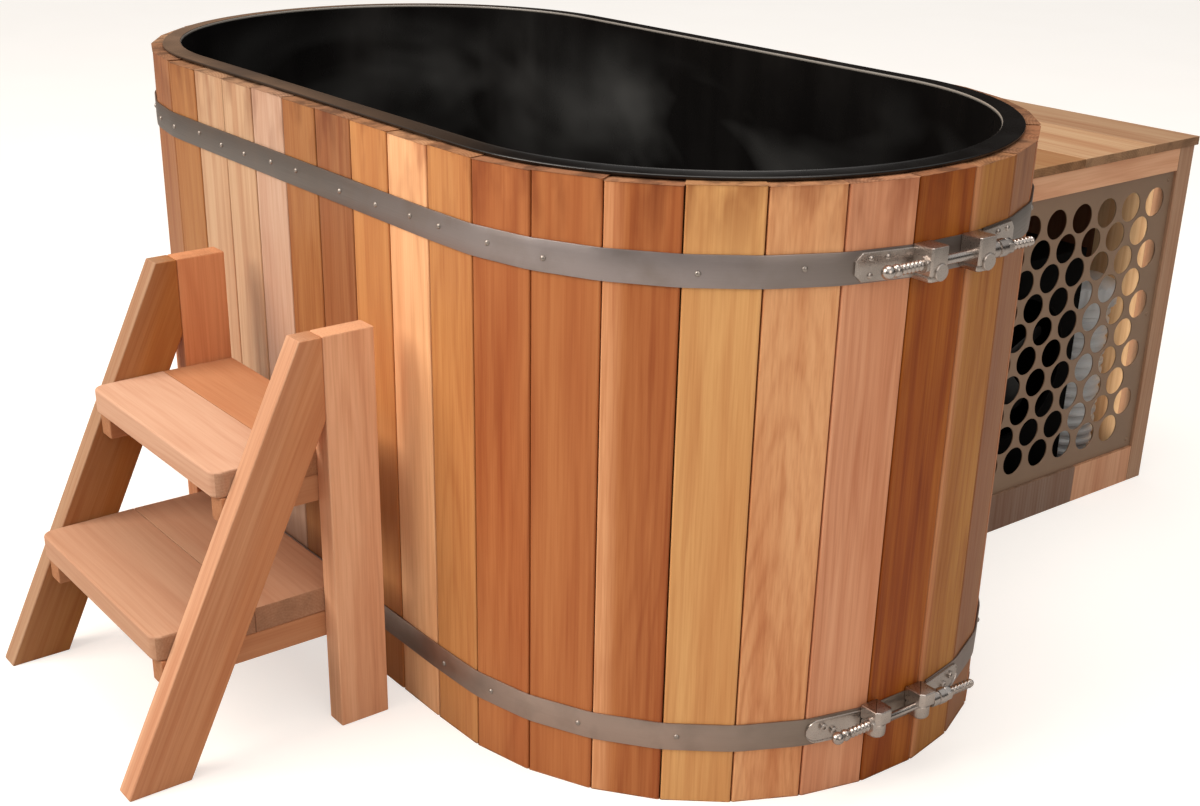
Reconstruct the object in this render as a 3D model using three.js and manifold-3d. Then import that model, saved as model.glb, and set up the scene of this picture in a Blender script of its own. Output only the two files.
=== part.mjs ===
import * as THREE from 'three';
import { mergeVertices } from 'three/addons/utils/BufferGeometryUtils.js';
import Module from 'manifold-3d';

// Cold plunge tub: an oval cedar stave tub with a plastic liner and two drawn hoops, a pair of
// loose steps on the near side, and a cabinet on the far side that cools and filters the water.
// Millimetres, +Z up, X along the tub, origin on the floor under the middle of the tub.

// Gap between pieces that touch
const FIT = 0.3;

// How far a cutting solid runs past the face it opens
const OVERCUT = 1;

// Tub shell
const END_RADIUS = 399;
const STRAIGHT_LENGTH = 714;
const STAVE_COUNT = 45;
const STAVE_LENGTH = 762;
const STAVE_THICKNESS = 38;
const STAVE_BEVEL = 2;
const FIRST_JOINT = 47;
const PANEL_COUNT = 5;

// Tub floor on its joists, let into a groove round the staves
const JOIST_HEIGHT = 64;
const JOIST_WIDTH = 38;
const JOIST_SPACING = 420;
const FLOOR_THICKNESS = 32;
const CROZE_DEPTH = 10;

// Liner, hung by its flange on the stave tops
const LINER_WALL = 5.5;
const LINER_FLOOR = 6;
const FLANGE_THICKNESS = 4;
const FLANGE_INSET = 18;

// Hoops, and the lugs and bolt that draw each one tight
const HOOP_WIDTH = 37;
const HOOP_THICKNESS = 2;
const HOOP_SLIT = 4;
const LUG_STAVE = 6;
const LUG_LENGTH = 26;
const LUG_HEIGHT = 39;
const LUG_DEPTH = 31;
const LUG_CHAMFER = 3;
const PLATE_THICKNESS = 3;
const PLATE_HEIGHT = 33;
const PLATE_CORNER = 9;
const BOLT_RADIUS = 6;
const BOLT_STANDOFF = 20;
const COLLAR_RADIUS = 10.5;
const COLLAR_LENGTH = 24;
const NUT_RADIUS = 10;
const NUT_LENGTH = 9;

// Each hoop's middle, from the floor or down from the stave tops, and its draw gear, measured along
// the wall from the lug stave's middle
const LOWER_HOOP_HEIGHT = 91.5;
const LOWER_BOLT_RISE = 6;
const LOWER_LEFT_LUG = -45;
const LOWER_RIGHT_LUG = 31;
const LOWER_PLATE_START = -131;
const LOWER_PLATE_END = 136;
const LOWER_BOLT_START = -120;
const LOWER_BOLT_END = 122;
const UPPER_HOOP_DROP = 92.5;
const UPPER_BOLT_RISE = 1;
const UPPER_LEFT_LUG = -35;
const UPPER_RIGHT_LUG = 40;
const UPPER_PLATE_START = -120;
const UPPER_PLATE_END = 138;
const UPPER_BOLT_START = -110;
const UPPER_BOLT_END = 127;

// Water fittings through the tub wall
const FITTING_RADIUS = 21;
const FITTING_FLANGE_RADIUS = 34;
const FITTING_FLANGE = 5;
const FITTING_NUT_RADIUS = 31;
const FITTING_NUT = 10;
const FITTING_BARB = 45;
const SUCTION_HEIGHT = 165;
const RETURN_HEIGHT = 450;

// Drain valve
const DRAIN_STAVE = 26;
const DRAIN_HEIGHT = 145;
const DRAIN_RADIUS = 15;
const DRAIN_FLANGE_RADIUS = 26;
const DRAIN_NUT_RADIUS = 24;
const VALVE_RADIUS = 20;
const VALVE_LENGTH = 48;
const VALVE_NECK_RADIUS = 8;
const VALVE_NECK = 6;
const SPOUT_LENGTH = 26;
const LEVER_LENGTH = 95;
const LEVER_WIDTH = 16;
const LEVER_THICKNESS = 4;

// Steps
const STEPS_LEFT = -171;
const STEPS_WIDTH = 436;
const STEPS_REAR = -446;
const STEPS_HEIGHT = 539;
const STEP_BOARD = 32;
const POST_WIDTH = 71;
const LEG_FOOT = 84;
const LEG_TOP = 31;
const LEG_FRONT = -816;
const TREAD_THICKNESS = 34;
const TREAD_GAP = 1;
const TREAD_CORNER = 16;
const LOWER_TREAD_TOP = 192;
const LOWER_TREAD_FRONT = -752;
const LOWER_TREAD_BOARD = 136.5;
const UPPER_TREAD_TOP = 385;
const UPPER_TREAD_FRONT = -657;
const UPPER_TREAD_BOARD = 105;
const CLEAT_WIDTH = 30;
const CLEAT_HEIGHT = 36;
const CLEAT_NOSE = 6;
const CLEAT_INSET = 12;

// Equipment cabinet
const CABINET_FRONT = 370;
const CABINET_LENGTH = 760;
const CABINET_GAP = 31;
const CABINET_DEPTH = 627;
const CABINET_HEIGHT = 606;
const CABINET_POST = 38;
const TOP_RAIL = 38;
const BOTTOM_RAIL = 66;
const SIDE_PANEL = 19;
const SIDE_BOARD = 114;
const CABINET_FLOOR = 18;
const LID_THICKNESS = 14;
const LID_OVERHANG = 4;
const LID_EDGE_BOARD = 116;
const LID_BOARD = 176;
const BATTEN_WIDTH = 60;
const BATTEN_THICKNESS = 19;
const BATTEN_INSET = 90;
const BATTEN_END = 45;
const BOARD_GROOVE = 1.5;

// Perforated end grilles
const GRILLE_THICKNESS = 2;
const GRILLE_SETBACK = 5;
const HOLE_RADIUS = 24;
const HOLE_SIDES = 8;
const HOLE_PITCH = 62.7;
const HOLE_ROW = 43.5;
const HOLE_MARGIN = 42;
const HOLE_BOTTOM = 49;

// Lid hinge
const HINGE_LENGTH = 600;
const KNUCKLE_RADIUS = 4;
const KNUCKLE_COUNT = 5;
const PIN_RADIUS = 2.4;
const LEAF_THICKNESS = 1.5;
const FIXED_LEAF = 26;
const MOVING_LEAF = 8;

// Chiller
const CHILLER_FRONT_GAP = 7;
const CHILLER_LENGTH = 440;
const CHILLER_NEAR_GAP = 111;
const CHILLER_HEIGHT = 420;
const CASING_WALL = 3;
const FAN_RADIUS = 112;
const FAN_CLEARANCE = 6;
const FAN_HEIGHT = 240;
const FAN_BLADES = 5;
const BLADE_CHORD = 46;
const BLADE_THICKNESS = 3;
const BLADE_PITCH = Math.PI / 6;
const HUB_RADIUS = 22;
const HUB_LENGTH = 26;
const HUB_SETBACK = 20;
const SHAFT_RADIUS = 4;
const BEARING_RADIUS = 14;
const BEARING_LENGTH = 16;
const BRACKET_WIDTH = 40;
const BRACKET_THICKNESS = 6;

// Filter and the pipes between the machines
const FILTER_FRONT_GAP = 5;
const FILTER_SIDE_GAP = 26;
const FILTER_PIPE_LENGTH = 28;
const FILTER_RADIUS = 50;
const FILTER_HEAD_RADIUS = 57;
const FILTER_BODY = 300;
const FILTER_HEAD = 46;
const HOSE_RADIUS = 16;
const STUB_LENGTH = 18;
const CHILLER_PORT_HEIGHT = 380;
const CHILLER_PORT_INSET = 80;

const wasm = await Module();
wasm.setup();

const CEDAR = material(0xb98a60, 0.75, 0);
const STEP_CEDAR = material(0xd0a07c, 0.7, 0);
const STEEL = material(0x9b9694, 0.35, 1);
const CAST_STEEL = material(0xa9a5a2, 0.45, 1);
const BLACK_PLASTIC = material(0x17181a, 0.25, 0);
const BRONZE_PAINT = material(0x8b7f77, 0.5, 0);
const BLACK_STEEL = material(0x1b1c1e, 0.5, 0);
const FILTER_PLASTIC = material(0x7f8a96, 0.4, 0);
const HOSE_RUBBER = material(0x202122, 0.6, 0);
const BRASS = material(0xb59a55, 0.35, 1);

function material(color, roughness, metalness) {
  return new THREE.MeshStandardMaterial({ color, roughness, metalness });
}

// Closed geometry as a solid that can be joined and cut
function toSolid(geometry) {
  const bare = geometry.clone();
  bare.deleteAttribute('normal');
  bare.deleteAttribute('uv');
  const merged = mergeVertices(bare, 1e-4);
  const triangles = [];
  for (let i = 0; i < merged.index.count; i += 3) {
    const corner = [0, 1, 2].map((j) => merged.index.getX(i + j));
    if (new Set(corner).size === 3) triangles.push(...corner);
  }
  return new wasm.Manifold(new wasm.Mesh({
    numProp: 3,
    vertProperties: merged.attributes.position.array,
    triVerts: new Uint32Array(triangles),
  }));
}

function fromSolid(solid) {
  const mesh = solid.getMesh();
  const geometry = new THREE.BufferGeometry();
  geometry.setAttribute('position', new THREE.BufferAttribute(mesh.vertProperties, 3));
  geometry.setIndex(new THREE.BufferAttribute(mesh.triVerts, 1));
  return geometry;
}

function join(first, ...others) {
  return fromSolid(others.reduce((sum, other) => sum.add(toSolid(other)), toSolid(first)));
}

function cut(first, ...others) {
  return fromSolid(others.reduce((rest, other) => rest.subtract(toSolid(other)), toSolid(first)));
}

function common(first, second) {
  return fromSolid(toSolid(first).intersect(toSolid(second)));
}

// Upright prism on a plan outline
function prism(points, bottom, top, holes = []) {
  const shape = new THREE.Shape(points);
  shape.holes = holes.map((hole) => new THREE.Path(hole));
  const geometry = new THREE.ExtrudeGeometry(shape, { depth: top - bottom, bevelEnabled: false });
  return geometry.translate(0, 0, bottom);
}

// Prism along X on an outline drawn with Y to the right and Z up
function prismAlongX(points, from, to, holes = []) {
  const turn = new THREE.Matrix4().makeBasis(
    new THREE.Vector3(0, 1, 0),
    new THREE.Vector3(0, 0, 1),
    new THREE.Vector3(1, 0, 0),
  );
  return prism(points, from, to, holes).applyMatrix4(turn);
}

function box(x0, x1, y0, y1, z0, z1) {
  const geometry = new THREE.BoxGeometry(x1 - x0, y1 - y0, z1 - z0);
  return geometry.translate((x0 + x1) / 2, (y0 + y1) / 2, (z0 + z1) / 2);
}

// Round bar along X or Y from one end to the other, its axis at the given place across
function barAlongX(radius, from, to, y, z, sides = 16) {
  const geometry = new THREE.CylinderGeometry(radius, radius, to - from, sides);
  return geometry.rotateZ(Math.PI / 2).translate((from + to) / 2, y, z);
}

function barAlongY(radius, from, to, x, z, sides = 16) {
  const geometry = new THREE.CylinderGeometry(radius, radius, to - from, sides);
  return geometry.translate(x, (from + to) / 2, z);
}

function circle(radius, sides, x = 0, y = 0) {
  return Array.from({ length: sides }, (_, i) => {
    const angle = (2 * Math.PI * (i + 0.5)) / sides;
    return new THREE.Vector2(x + radius * Math.cos(angle), y + radius * Math.sin(angle));
  });
}

// Turned piece along +Y from pairs of radius and place, closed on the axis at both ends
function turned(profile, sides = 16) {
  const first = profile[0][1];
  const last = profile[profile.length - 1][1];
  const points = [[0, first], ...profile, [0, last]].map(([r, y]) => new THREE.Vector2(r, y));
  return new THREE.LatheGeometry(points, sides);
}

const part = new THREE.Group();

function add(parent, name, geometry, look) {
  const mesh = new THREE.Mesh(geometry, look);
  mesh.name = name;
  parent.add(mesh);
  return mesh;
}

// The oval, walked anticlockwise from where the near side meets the +X end
const HALF_STRAIGHT = STRAIGHT_LENGTH / 2;
const ROUND_LENGTH = Math.PI * END_RADIUS;
const OVAL_LENGTH = 2 * (STRAIGHT_LENGTH + ROUND_LENGTH);
const STAVE_WIDTH = OVAL_LENGTH / STAVE_COUNT;

function ovalPoint(distance) {
  const half = STRAIGHT_LENGTH + ROUND_LENGTH;
  const whole = ((distance % OVAL_LENGTH) + OVAL_LENGTH) % OVAL_LENGTH;
  const side = whole < half ? 1 : -1;
  const rest = whole % half;
  if (rest > ROUND_LENGTH) {
    return new THREE.Vector2(side * (HALF_STRAIGHT - (rest - ROUND_LENGTH)), side * END_RADIUS);
  }
  const angle = rest / END_RADIUS - Math.PI / 2;
  const x = HALF_STRAIGHT + END_RADIUS * Math.cos(angle);
  return new THREE.Vector2(side * x, side * END_RADIUS * Math.sin(angle));
}

// Each stave is a flat facet of the oval between two joints
const wrap = (k) => ((k % STAVE_COUNT) + STAVE_COUNT) % STAVE_COUNT;
const joints = Array.from({ length: STAVE_COUNT }, (_, k) => ovalPoint(FIRST_JOINT + k * STAVE_WIDTH));
const along = joints.map((joint, k) => joints[wrap(k + 1)].clone().sub(joint).normalize());
const outward = along.map((a) => new THREE.Vector2(a.y, -a.x));

// Joint k moved out by an offset, then along the stave after it (or before it, when negative)
function jointPoint(k, offset, slide = 0) {
  const before = outward[wrap(k - 1)];
  const after = outward[wrap(k)];
  const miter = before.clone().add(after).multiplyScalar(offset / (1 + before.dot(after)));
  const direction = slide < 0 ? along[wrap(k - 1)] : along[wrap(k)];
  return joints[wrap(k)].clone().add(miter).addScaledVector(direction, slide);
}

// Point on the wall counted in staves, moved out by an offset
function wallPoint(staves, offset) {
  const k = Math.floor(staves);
  const foot = joints[wrap(k)].clone().lerp(joints[wrap(k + 1)], staves - k);
  return foot.addScaledVector(outward[wrap(k)], offset);
}

function outline(offset) {
  return joints.map((_, k) => jointPoint(k, offset));
}

// Strip of the wall between two places, from one offset out to another
function strip(from, to, inner, outer) {
  const path = (offset) => {
    const points = [wallPoint(from, offset)];
    for (let k = Math.floor(from) + 1; k < to; k += 1) points.push(jointPoint(k, offset));
    points.push(wallPoint(to, offset));
    return points;
  };
  return [...path(outer), ...path(inner).reverse()];
}

// Group standing on the middle of one stave's face: local X out of the wall, local Y along it
function staveGroup(stave, height) {
  const middle = wallPoint(stave + 0.5, 0);
  const group = new THREE.Group();
  group.position.set(middle.x, middle.y, height);
  group.rotation.z = Math.atan2(outward[stave].y, outward[stave].x);
  group.updateMatrix();
  return group;
}

// Floor and joists
const floorBottom = JOIST_HEIGHT + FIT;
const floorTop = floorBottom + FLOOR_THICKNESS;
const crozeOffset = CROZE_DEPTH - STAVE_THICKNESS;

function makeFloor() {
  add(part, 'tub_floor', prism(outline(crozeOffset - FIT), floorBottom, floorTop), CEDAR);
  const facetDrop = Math.cos(STAVE_WIDTH / END_RADIUS / 2);
  const room = END_RADIUS * facetDrop - STAVE_THICKNESS - FIT;
  [-JOIST_SPACING, 0, JOIST_SPACING].forEach((x, i) => {
    const past = Math.max(Math.abs(x) + JOIST_WIDTH / 2 - HALF_STRAIGHT, 0);
    const half = Math.sqrt(room ** 2 - past ** 2);
    const joist = box(x - JOIST_WIDTH / 2, x + JOIST_WIDTH / 2, -half, half, 0, JOIST_HEIGHT);
    add(part, `floor_joist_${i + 1}`, joist, CEDAR);
  });
}

// Liner
const linerOuter = -STAVE_THICKNESS - FIT;
const linerInner = linerOuter - LINER_WALL;
const linerBottom = floorTop + FIT;
const flangeBottom = STAVE_LENGTH + FIT;
const flangeTop = flangeBottom + FLANGE_THICKNESS;

// Cabinet and machine planes, which the wall fittings also meet
const cabinetNear = END_RADIUS + CABINET_GAP;
const cabinetOuter = cabinetNear + CABINET_DEPTH;
const cabinetRear = CABINET_FRONT - CABINET_LENGTH;
const bayNear = cabinetNear + CABINET_POST + FIT;
const bayOuter = cabinetOuter - CABINET_POST - FIT;
const bayFront = CABINET_FRONT - CABINET_POST - FIT;
const bayRear = cabinetRear + CABINET_POST + FIT;
const filterX = bayFront - FILTER_FRONT_GAP - FILTER_HEAD_RADIUS;
const filterY = cabinetOuter - SIDE_PANEL - FILTER_SIDE_GAP - FILTER_HEAD_RADIUS;
const chillerFront = bayFront - CHILLER_FRONT_GAP;
const chillerRear = chillerFront - CHILLER_LENGTH;
const chillerNear = cabinetNear + SIDE_PANEL + CHILLER_NEAR_GAP;
const chillerOuter = filterY - FILTER_HEAD_RADIUS - FILTER_PIPE_LENGTH;
const fittingX = (bayRear + chillerRear) / 2;
const fittingEnd = cabinetNear + SIDE_PANEL + FITTING_BARB;

// Round cuts through the tub wall, for the two fittings and the drain
function wallBores() {
  const reach = END_RADIUS + linerInner - FITTING_FLANGE;
  const fittings = [SUCTION_HEIGHT, RETURN_HEIGHT].map((z) => (
    barAlongY(FITTING_RADIUS + FIT, reach, fittingEnd, fittingX, z)
  ));
  const seat = staveGroup(DRAIN_STAVE, DRAIN_HEIGHT);
  const drain = barAlongX(DRAIN_RADIUS + FIT, 2 * linerInner, STAVE_THICKNESS, 0, 0);
  return [...fittings, drain.applyMatrix4(seat.matrix)];
}

function makeLiner() {
  const body = prism(outline(linerOuter), linerBottom, flangeTop);
  const flange = prism(outline(-FLANGE_INSET), flangeBottom, flangeTop);
  const hollow = prism(outline(linerInner), linerBottom + LINER_FLOOR, flangeTop + OVERCUT);
  add(part, 'liner', cut(join(body, flange), hollow, ...wallBores()), BLACK_PLASTIC);
}

// Staves, joined edge to edge in panels, with a bevel down both sides of each joint
function stavePanel(first, last) {
  const outer = [jointPoint(first, -STAVE_BEVEL, FIT / 2), jointPoint(first, 0, STAVE_BEVEL)];
  const inner = [jointPoint(first, -STAVE_THICKNESS, FIT / 2)];
  for (let k = first + 1; k < last; k += 1) {
    outer.push(jointPoint(k, 0, -STAVE_BEVEL), jointPoint(k, -STAVE_BEVEL), jointPoint(k, 0, STAVE_BEVEL));
    inner.push(jointPoint(k, -STAVE_THICKNESS));
  }
  outer.push(jointPoint(last, 0, -STAVE_BEVEL), jointPoint(last, -STAVE_BEVEL, -FIT / 2));
  inner.push(jointPoint(last, -STAVE_THICKNESS, -FIT / 2));
  return prism([...outer, ...inner.reverse()], 0, STAVE_LENGTH);
}

function makeStaves() {
  const croze = prism(outline(crozeOffset), floorBottom - FIT, floorTop + FIT);
  const bores = wallBores();
  for (let i = 0; i < PANEL_COUNT; i += 1) {
    const first = Math.round((i * STAVE_COUNT) / PANEL_COUNT);
    const last = Math.round(((i + 1) * STAVE_COUNT) / PANEL_COUNT);
    add(part, `staves_${i + 1}`, cut(stavePanel(first, last), croze, ...bores), CEDAR);
  }
}

// Hoops with their lugs, draw bolts, collars and nuts
const hoopOuter = FIT + HOOP_THICKNESS;

// Flat plan of a lug's block: local X out of the wall, its outer corners cut off
function lugBlock(place, bottom) {
  const half = LUG_LENGTH / 2;
  const points = [
    [-STAVE_THICKNESS / 2, -half],
    [LUG_DEPTH - LUG_CHAMFER, -half],
    [LUG_DEPTH, LUG_CHAMFER - half],
    [LUG_DEPTH, half - LUG_CHAMFER],
    [LUG_DEPTH - LUG_CHAMFER, half],
    [-STAVE_THICKNESS / 2, half],
  ].map(([x, y]) => new THREE.Vector2(x, place + y));
  return prism(points, bottom, bottom + LUG_HEIGHT);
}

// Band plate from the block to its cut-cornered end, bent to the hoop
function lugPlate(hoop, place, end) {
  const side = Math.sign(end - place);
  const from = LUG_STAVE + 0.5 + place / STAVE_WIDTH;
  const to = LUG_STAVE + 0.5 + end / STAVE_WIDTH;
  const under = hoopOuter + FIT;
  const plan = strip(Math.min(from, to), Math.max(from, to), under, under + PLATE_THICKNESS);
  const low = hoop.height - PLATE_HEIGHT / 2;
  const plate = prism(plan, low, low + PLATE_HEIGHT);
  const start = place - (side * LUG_LENGTH) / 2;
  const points = [
    [start, -PLATE_HEIGHT],
    [start, PLATE_HEIGHT],
    [end - side * PLATE_CORNER, PLATE_HEIGHT / 2],
    [end, PLATE_HEIGHT / 2 - PLATE_CORNER],
    [end, PLATE_CORNER - PLATE_HEIGHT / 2],
    [end - side * PLATE_CORNER, -PLATE_HEIGHT / 2],
  ].map(([y, z]) => new THREE.Vector2(y, z));
  const face = side > 0 ? points.reverse() : points;
  const trim = prismAlongX(face, -END_RADIUS / 2, END_RADIUS / 2);
  return common(plate, trim.applyMatrix4(staveGroup(LUG_STAVE, hoop.height).matrix));
}

function makeHoop(hoop) {
  const bottom = hoop.height - HOOP_WIDTH / 2;
  const slit = LUG_STAVE + 0.5 + (hoop.lugs[1] + LUG_LENGTH) / STAVE_WIDTH;
  const half = HOOP_SLIT / 2 / STAVE_WIDTH;
  const band = strip(slit + half, slit + STAVE_COUNT - half, FIT, hoopOuter);
  add(part, `${hoop.name}_hoop`, prism(band, bottom, bottom + HOOP_WIDTH), STEEL);

  const seat = staveGroup(LUG_STAVE, hoop.height);
  const bed = prism(outline(hoopOuter + FIT), hoop.height - LUG_HEIGHT, hoop.height + LUG_HEIGHT);
  const bore = barAlongY(BOLT_RADIUS + FIT, ...hoop.bolt, BOLT_STANDOFF, hoop.boltRise, 12);
  const boreInPlace = bore.applyMatrix4(seat.matrix);
  ['left', 'right'].forEach((side, i) => {
    const block = lugBlock(hoop.lugs[i], hoop.boltRise - LUG_HEIGHT / 2).applyMatrix4(seat.matrix);
    const plate = lugPlate(hoop, hoop.lugs[i], hoop.plates[i]);
    add(part, `${hoop.name}_${side}_lug`, cut(join(block, plate), bed, boreInPlace), CAST_STEEL);
  });

  part.add(seat);
  const bolt = barAlongY(BOLT_RADIUS, ...hoop.bolt, BOLT_STANDOFF, hoop.boltRise, 12);
  add(seat, `${hoop.name}_draw_bolt`, bolt, STEEL);
  const ring = (radius, sides, from, length) => {
    const hole = circle(BOLT_RADIUS + FIT, 12);
    const geometry = prism(circle(radius, sides), 0, length, [hole]);
    return geometry.rotateX(-Math.PI / 2).translate(BOLT_STANDOFF, from, hoop.boltRise);
  };
  const collarStart = hoop.lugs[1] + LUG_LENGTH / 2 + FIT;
  const nutStart = collarStart + COLLAR_LENGTH + FIT;
  add(seat, `${hoop.name}_collar`, ring(COLLAR_RADIUS, 16, collarStart, COLLAR_LENGTH), STEEL);
  add(seat, `${hoop.name}_nut`, ring(NUT_RADIUS, 6, nutStart, NUT_LENGTH), STEEL);
}

// Suction and return: a flange inside the liner, a nut outside, and a hose end inside the cabinet
function makeFittings() {
  const inside = END_RADIUS + linerInner - FIT;
  const outside = END_RADIUS + FIT;
  const profile = [
    [FITTING_FLANGE_RADIUS, inside - FITTING_FLANGE],
    [FITTING_FLANGE_RADIUS, inside],
    [FITTING_RADIUS, inside],
    [FITTING_RADIUS, outside],
    [FITTING_NUT_RADIUS, outside],
    [FITTING_NUT_RADIUS, outside + FITTING_NUT],
    [FITTING_RADIUS, outside + FITTING_NUT],
    [FITTING_RADIUS, fittingEnd],
  ];
  [['suction_fitting', SUCTION_HEIGHT], ['return_fitting', RETURN_HEIGHT]].forEach(([name, z]) => {
    add(part, name, turned(profile), BLACK_PLASTIC).position.set(fittingX, 0, z);
  });
}

// Drain: a flange inside, a ball valve and spout outside, and a lever that lies across when shut
const valveStart = FIT + FITTING_NUT;
const valveMiddle = valveStart + VALVE_LENGTH / 2;
const leverBottom = VALVE_RADIUS + VALVE_NECK + FIT;

function makeDrain() {
  const seat = staveGroup(DRAIN_STAVE, DRAIN_HEIGHT);
  part.add(seat);
  const inside = linerInner - FIT;
  const profile = [
    [DRAIN_FLANGE_RADIUS, inside - FITTING_FLANGE],
    [DRAIN_FLANGE_RADIUS, inside],
    [DRAIN_RADIUS, inside],
    [DRAIN_RADIUS, FIT],
    [DRAIN_NUT_RADIUS, FIT],
    [DRAIN_NUT_RADIUS, valveStart],
    [VALVE_RADIUS, valveStart],
    [VALVE_RADIUS, valveStart + VALVE_LENGTH],
    [DRAIN_RADIUS, valveStart + VALVE_LENGTH],
    [DRAIN_RADIUS, valveStart + VALVE_LENGTH + SPOUT_LENGTH],
  ];
  const body = turned(profile).rotateZ(-Math.PI / 2);
  const neck = prism(circle(VALVE_NECK_RADIUS, 12, valveMiddle), 0, VALVE_RADIUS + VALVE_NECK);
  add(seat, 'drain_valve', join(body, neck), BRASS);
  const half = LEVER_WIDTH / 2;
  const hub = circle(half, 12).filter((point) => point.y < 0);
  const end = [new THREE.Vector2(half, LEVER_LENGTH), new THREE.Vector2(-half, LEVER_LENGTH)];
  const lever = prism([...hub, ...end], leverBottom, leverBottom + LEVER_THICKNESS);
  add(seat, 'drain_lever', lever.translate(valveMiddle, 0, 0), STEEL);
}

// Steps: leaning front legs on upright rear posts, two boards to a tread, a cleat under each end
function makeSteps() {
  const right = STEPS_LEFT + STEPS_WIDTH;
  const postFront = STEPS_REAR - POST_WIDTH;
  const legRear = postFront - FIT;
  const legTopFront = legRear - LEG_TOP;
  const lean = (legTopFront - LEG_FRONT) / STEPS_HEIGHT;
  const meet = (legRear - LEG_FRONT - LEG_FOOT) / lean;
  const leg = [
    [LEG_FRONT, 0],
    [LEG_FRONT + LEG_FOOT, 0],
    [legRear, meet],
    [legRear, STEPS_HEIGHT],
    [legTopFront, STEPS_HEIGHT],
  ].map(([y, z]) => new THREE.Vector2(y, z));
  const sides = [
    { name: 'left', outer: STEPS_LEFT, inner: STEPS_LEFT + STEP_BOARD, inward: 1 },
    { name: 'right', outer: right, inner: right - STEP_BOARD, inward: -1 },
  ];
  sides.forEach(({ name, outer, inner }) => {
    const low = Math.min(outer, inner);
    add(part, `step_${name}_leg`, prismAlongX(leg, low, low + STEP_BOARD), STEP_CEDAR);
    const post = box(low, low + STEP_BOARD, postFront, STEPS_REAR, 0, STEPS_HEIGHT);
    add(part, `step_${name}_post`, post, STEP_CEDAR);
  });
  const lower = { name: 'lower', top: LOWER_TREAD_TOP, front: LOWER_TREAD_FRONT, board: LOWER_TREAD_BOARD };
  const upper = { name: 'upper', top: UPPER_TREAD_TOP, front: UPPER_TREAD_FRONT, board: UPPER_TREAD_BOARD };
  makeTread(lower, sides, lean);
  makeTread(upper, sides, lean);
}

function makeTread(tread, sides, lean) {
  const x0 = sides[0].inner + FIT;
  const x1 = sides[1].inner - FIT;
  const bottom = tread.top - TREAD_THICKNESS;
  const middle = tread.front + tread.board;
  const front = new THREE.Shape();
  front.moveTo(x0, middle);
  front.absarc(x0 + TREAD_CORNER, tread.front + TREAD_CORNER, TREAD_CORNER, Math.PI, 1.5 * Math.PI);
  front.absarc(x1 - TREAD_CORNER, tread.front + TREAD_CORNER, TREAD_CORNER, 1.5 * Math.PI, 2 * Math.PI);
  front.lineTo(x1, middle);
  const board = prism(front.extractPoints(2).shape, bottom, tread.top);
  add(part, `${tread.name}_tread_front`, board, STEP_CEDAR);
  const rearStart = middle + TREAD_GAP;
  const rear = box(x0, x1, rearStart, rearStart + tread.board, bottom, tread.top);
  add(part, `${tread.name}_tread_rear`, rear, STEP_CEDAR);
  const cleatTop = bottom - FIT;
  const cleatFront = LEG_FRONT + lean * cleatTop - CLEAT_NOSE;
  const cleatRear = Math.min(rearStart + tread.board, STEPS_REAR) - CLEAT_INSET;
  sides.forEach(({ name, inner, inward }) => {
    const near = inner + inward * FIT;
    const far = near + inward * CLEAT_WIDTH;
    const low = Math.min(near, far);
    const cleat = box(low, low + CLEAT_WIDTH, cleatFront, cleatRear, cleatTop - CLEAT_HEIGHT, cleatTop);
    add(part, `${tread.name}_${name}_cleat`, cleat, STEP_CEDAR);
  });
}

// Cabinet frame
const lidBottom = CABINET_HEIGHT - LID_THICKNESS;
const frameTop = lidBottom - FIT;

function makeFrame() {
  const ends = [
    { name: 'front', from: CABINET_FRONT - CABINET_POST, to: CABINET_FRONT },
    { name: 'rear', from: cabinetRear, to: cabinetRear + CABINET_POST },
  ];
  const rows = [
    { name: 'tub_side', from: cabinetNear, to: cabinetNear + CABINET_POST },
    { name: 'outer', from: cabinetOuter - CABINET_POST, to: cabinetOuter },
  ];
  ends.forEach((end) => {
    rows.forEach((row) => {
      const post = box(end.from, end.to, row.from, row.to, 0, frameTop);
      add(part, `cabinet_${end.name}_${row.name}_post`, post, CEDAR);
    });
    const topRail = box(end.from, end.to, bayNear, bayOuter, frameTop - TOP_RAIL, frameTop);
    add(part, `cabinet_${end.name}_top_rail`, topRail, CEDAR);
    const bottomRail = box(end.from, end.to, bayNear, bayOuter, 0, BOTTOM_RAIL);
    add(part, `cabinet_${end.name}_bottom_rail`, bottomRail, CEDAR);
  });
  const floorNear = cabinetNear + SIDE_PANEL + FIT;
  const floorOuter = cabinetOuter - SIDE_PANEL - FIT;
  add(part, 'cabinet_floor', box(bayRear, bayFront, floorNear, floorOuter, 0, CABINET_FLOOR), CEDAR);
}

// Profile of tongued boards side by side: a groove on the far face at each seam
function boards(length, thickness, seams) {
  const points = [[0, 0], [length, 0], [length, thickness]];
  [...seams].sort((a, b) => b - a).forEach((seam) => {
    points.push([seam + BOARD_GROOVE, thickness]);
    points.push([seam, thickness - BOARD_GROOVE]);
    points.push([seam - BOARD_GROOVE, thickness]);
  });
  points.push([0, thickness]);
  return points.map(([x, y]) => new THREE.Vector2(x, y));
}

function makeSidePanels() {
  const length = bayFront - bayRear;
  const count = Math.round(length / SIDE_BOARD);
  const seams = Array.from({ length: count - 1 }, (_, i) => ((i + 1) * length) / count);
  const panel = () => prism(boards(length, SIDE_PANEL, seams), 0, frameTop);
  const outer = panel().translate(bayRear, cabinetOuter - SIDE_PANEL, 0);
  add(part, 'cabinet_outer_panel', outer, CEDAR);
  const tubSide = panel().rotateZ(Math.PI).translate(bayFront, cabinetNear + SIDE_PANEL, 0);
  add(part, 'cabinet_tub_side_panel', cut(tubSide, ...wallBores().slice(0, 2)), CEDAR);
}

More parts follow.
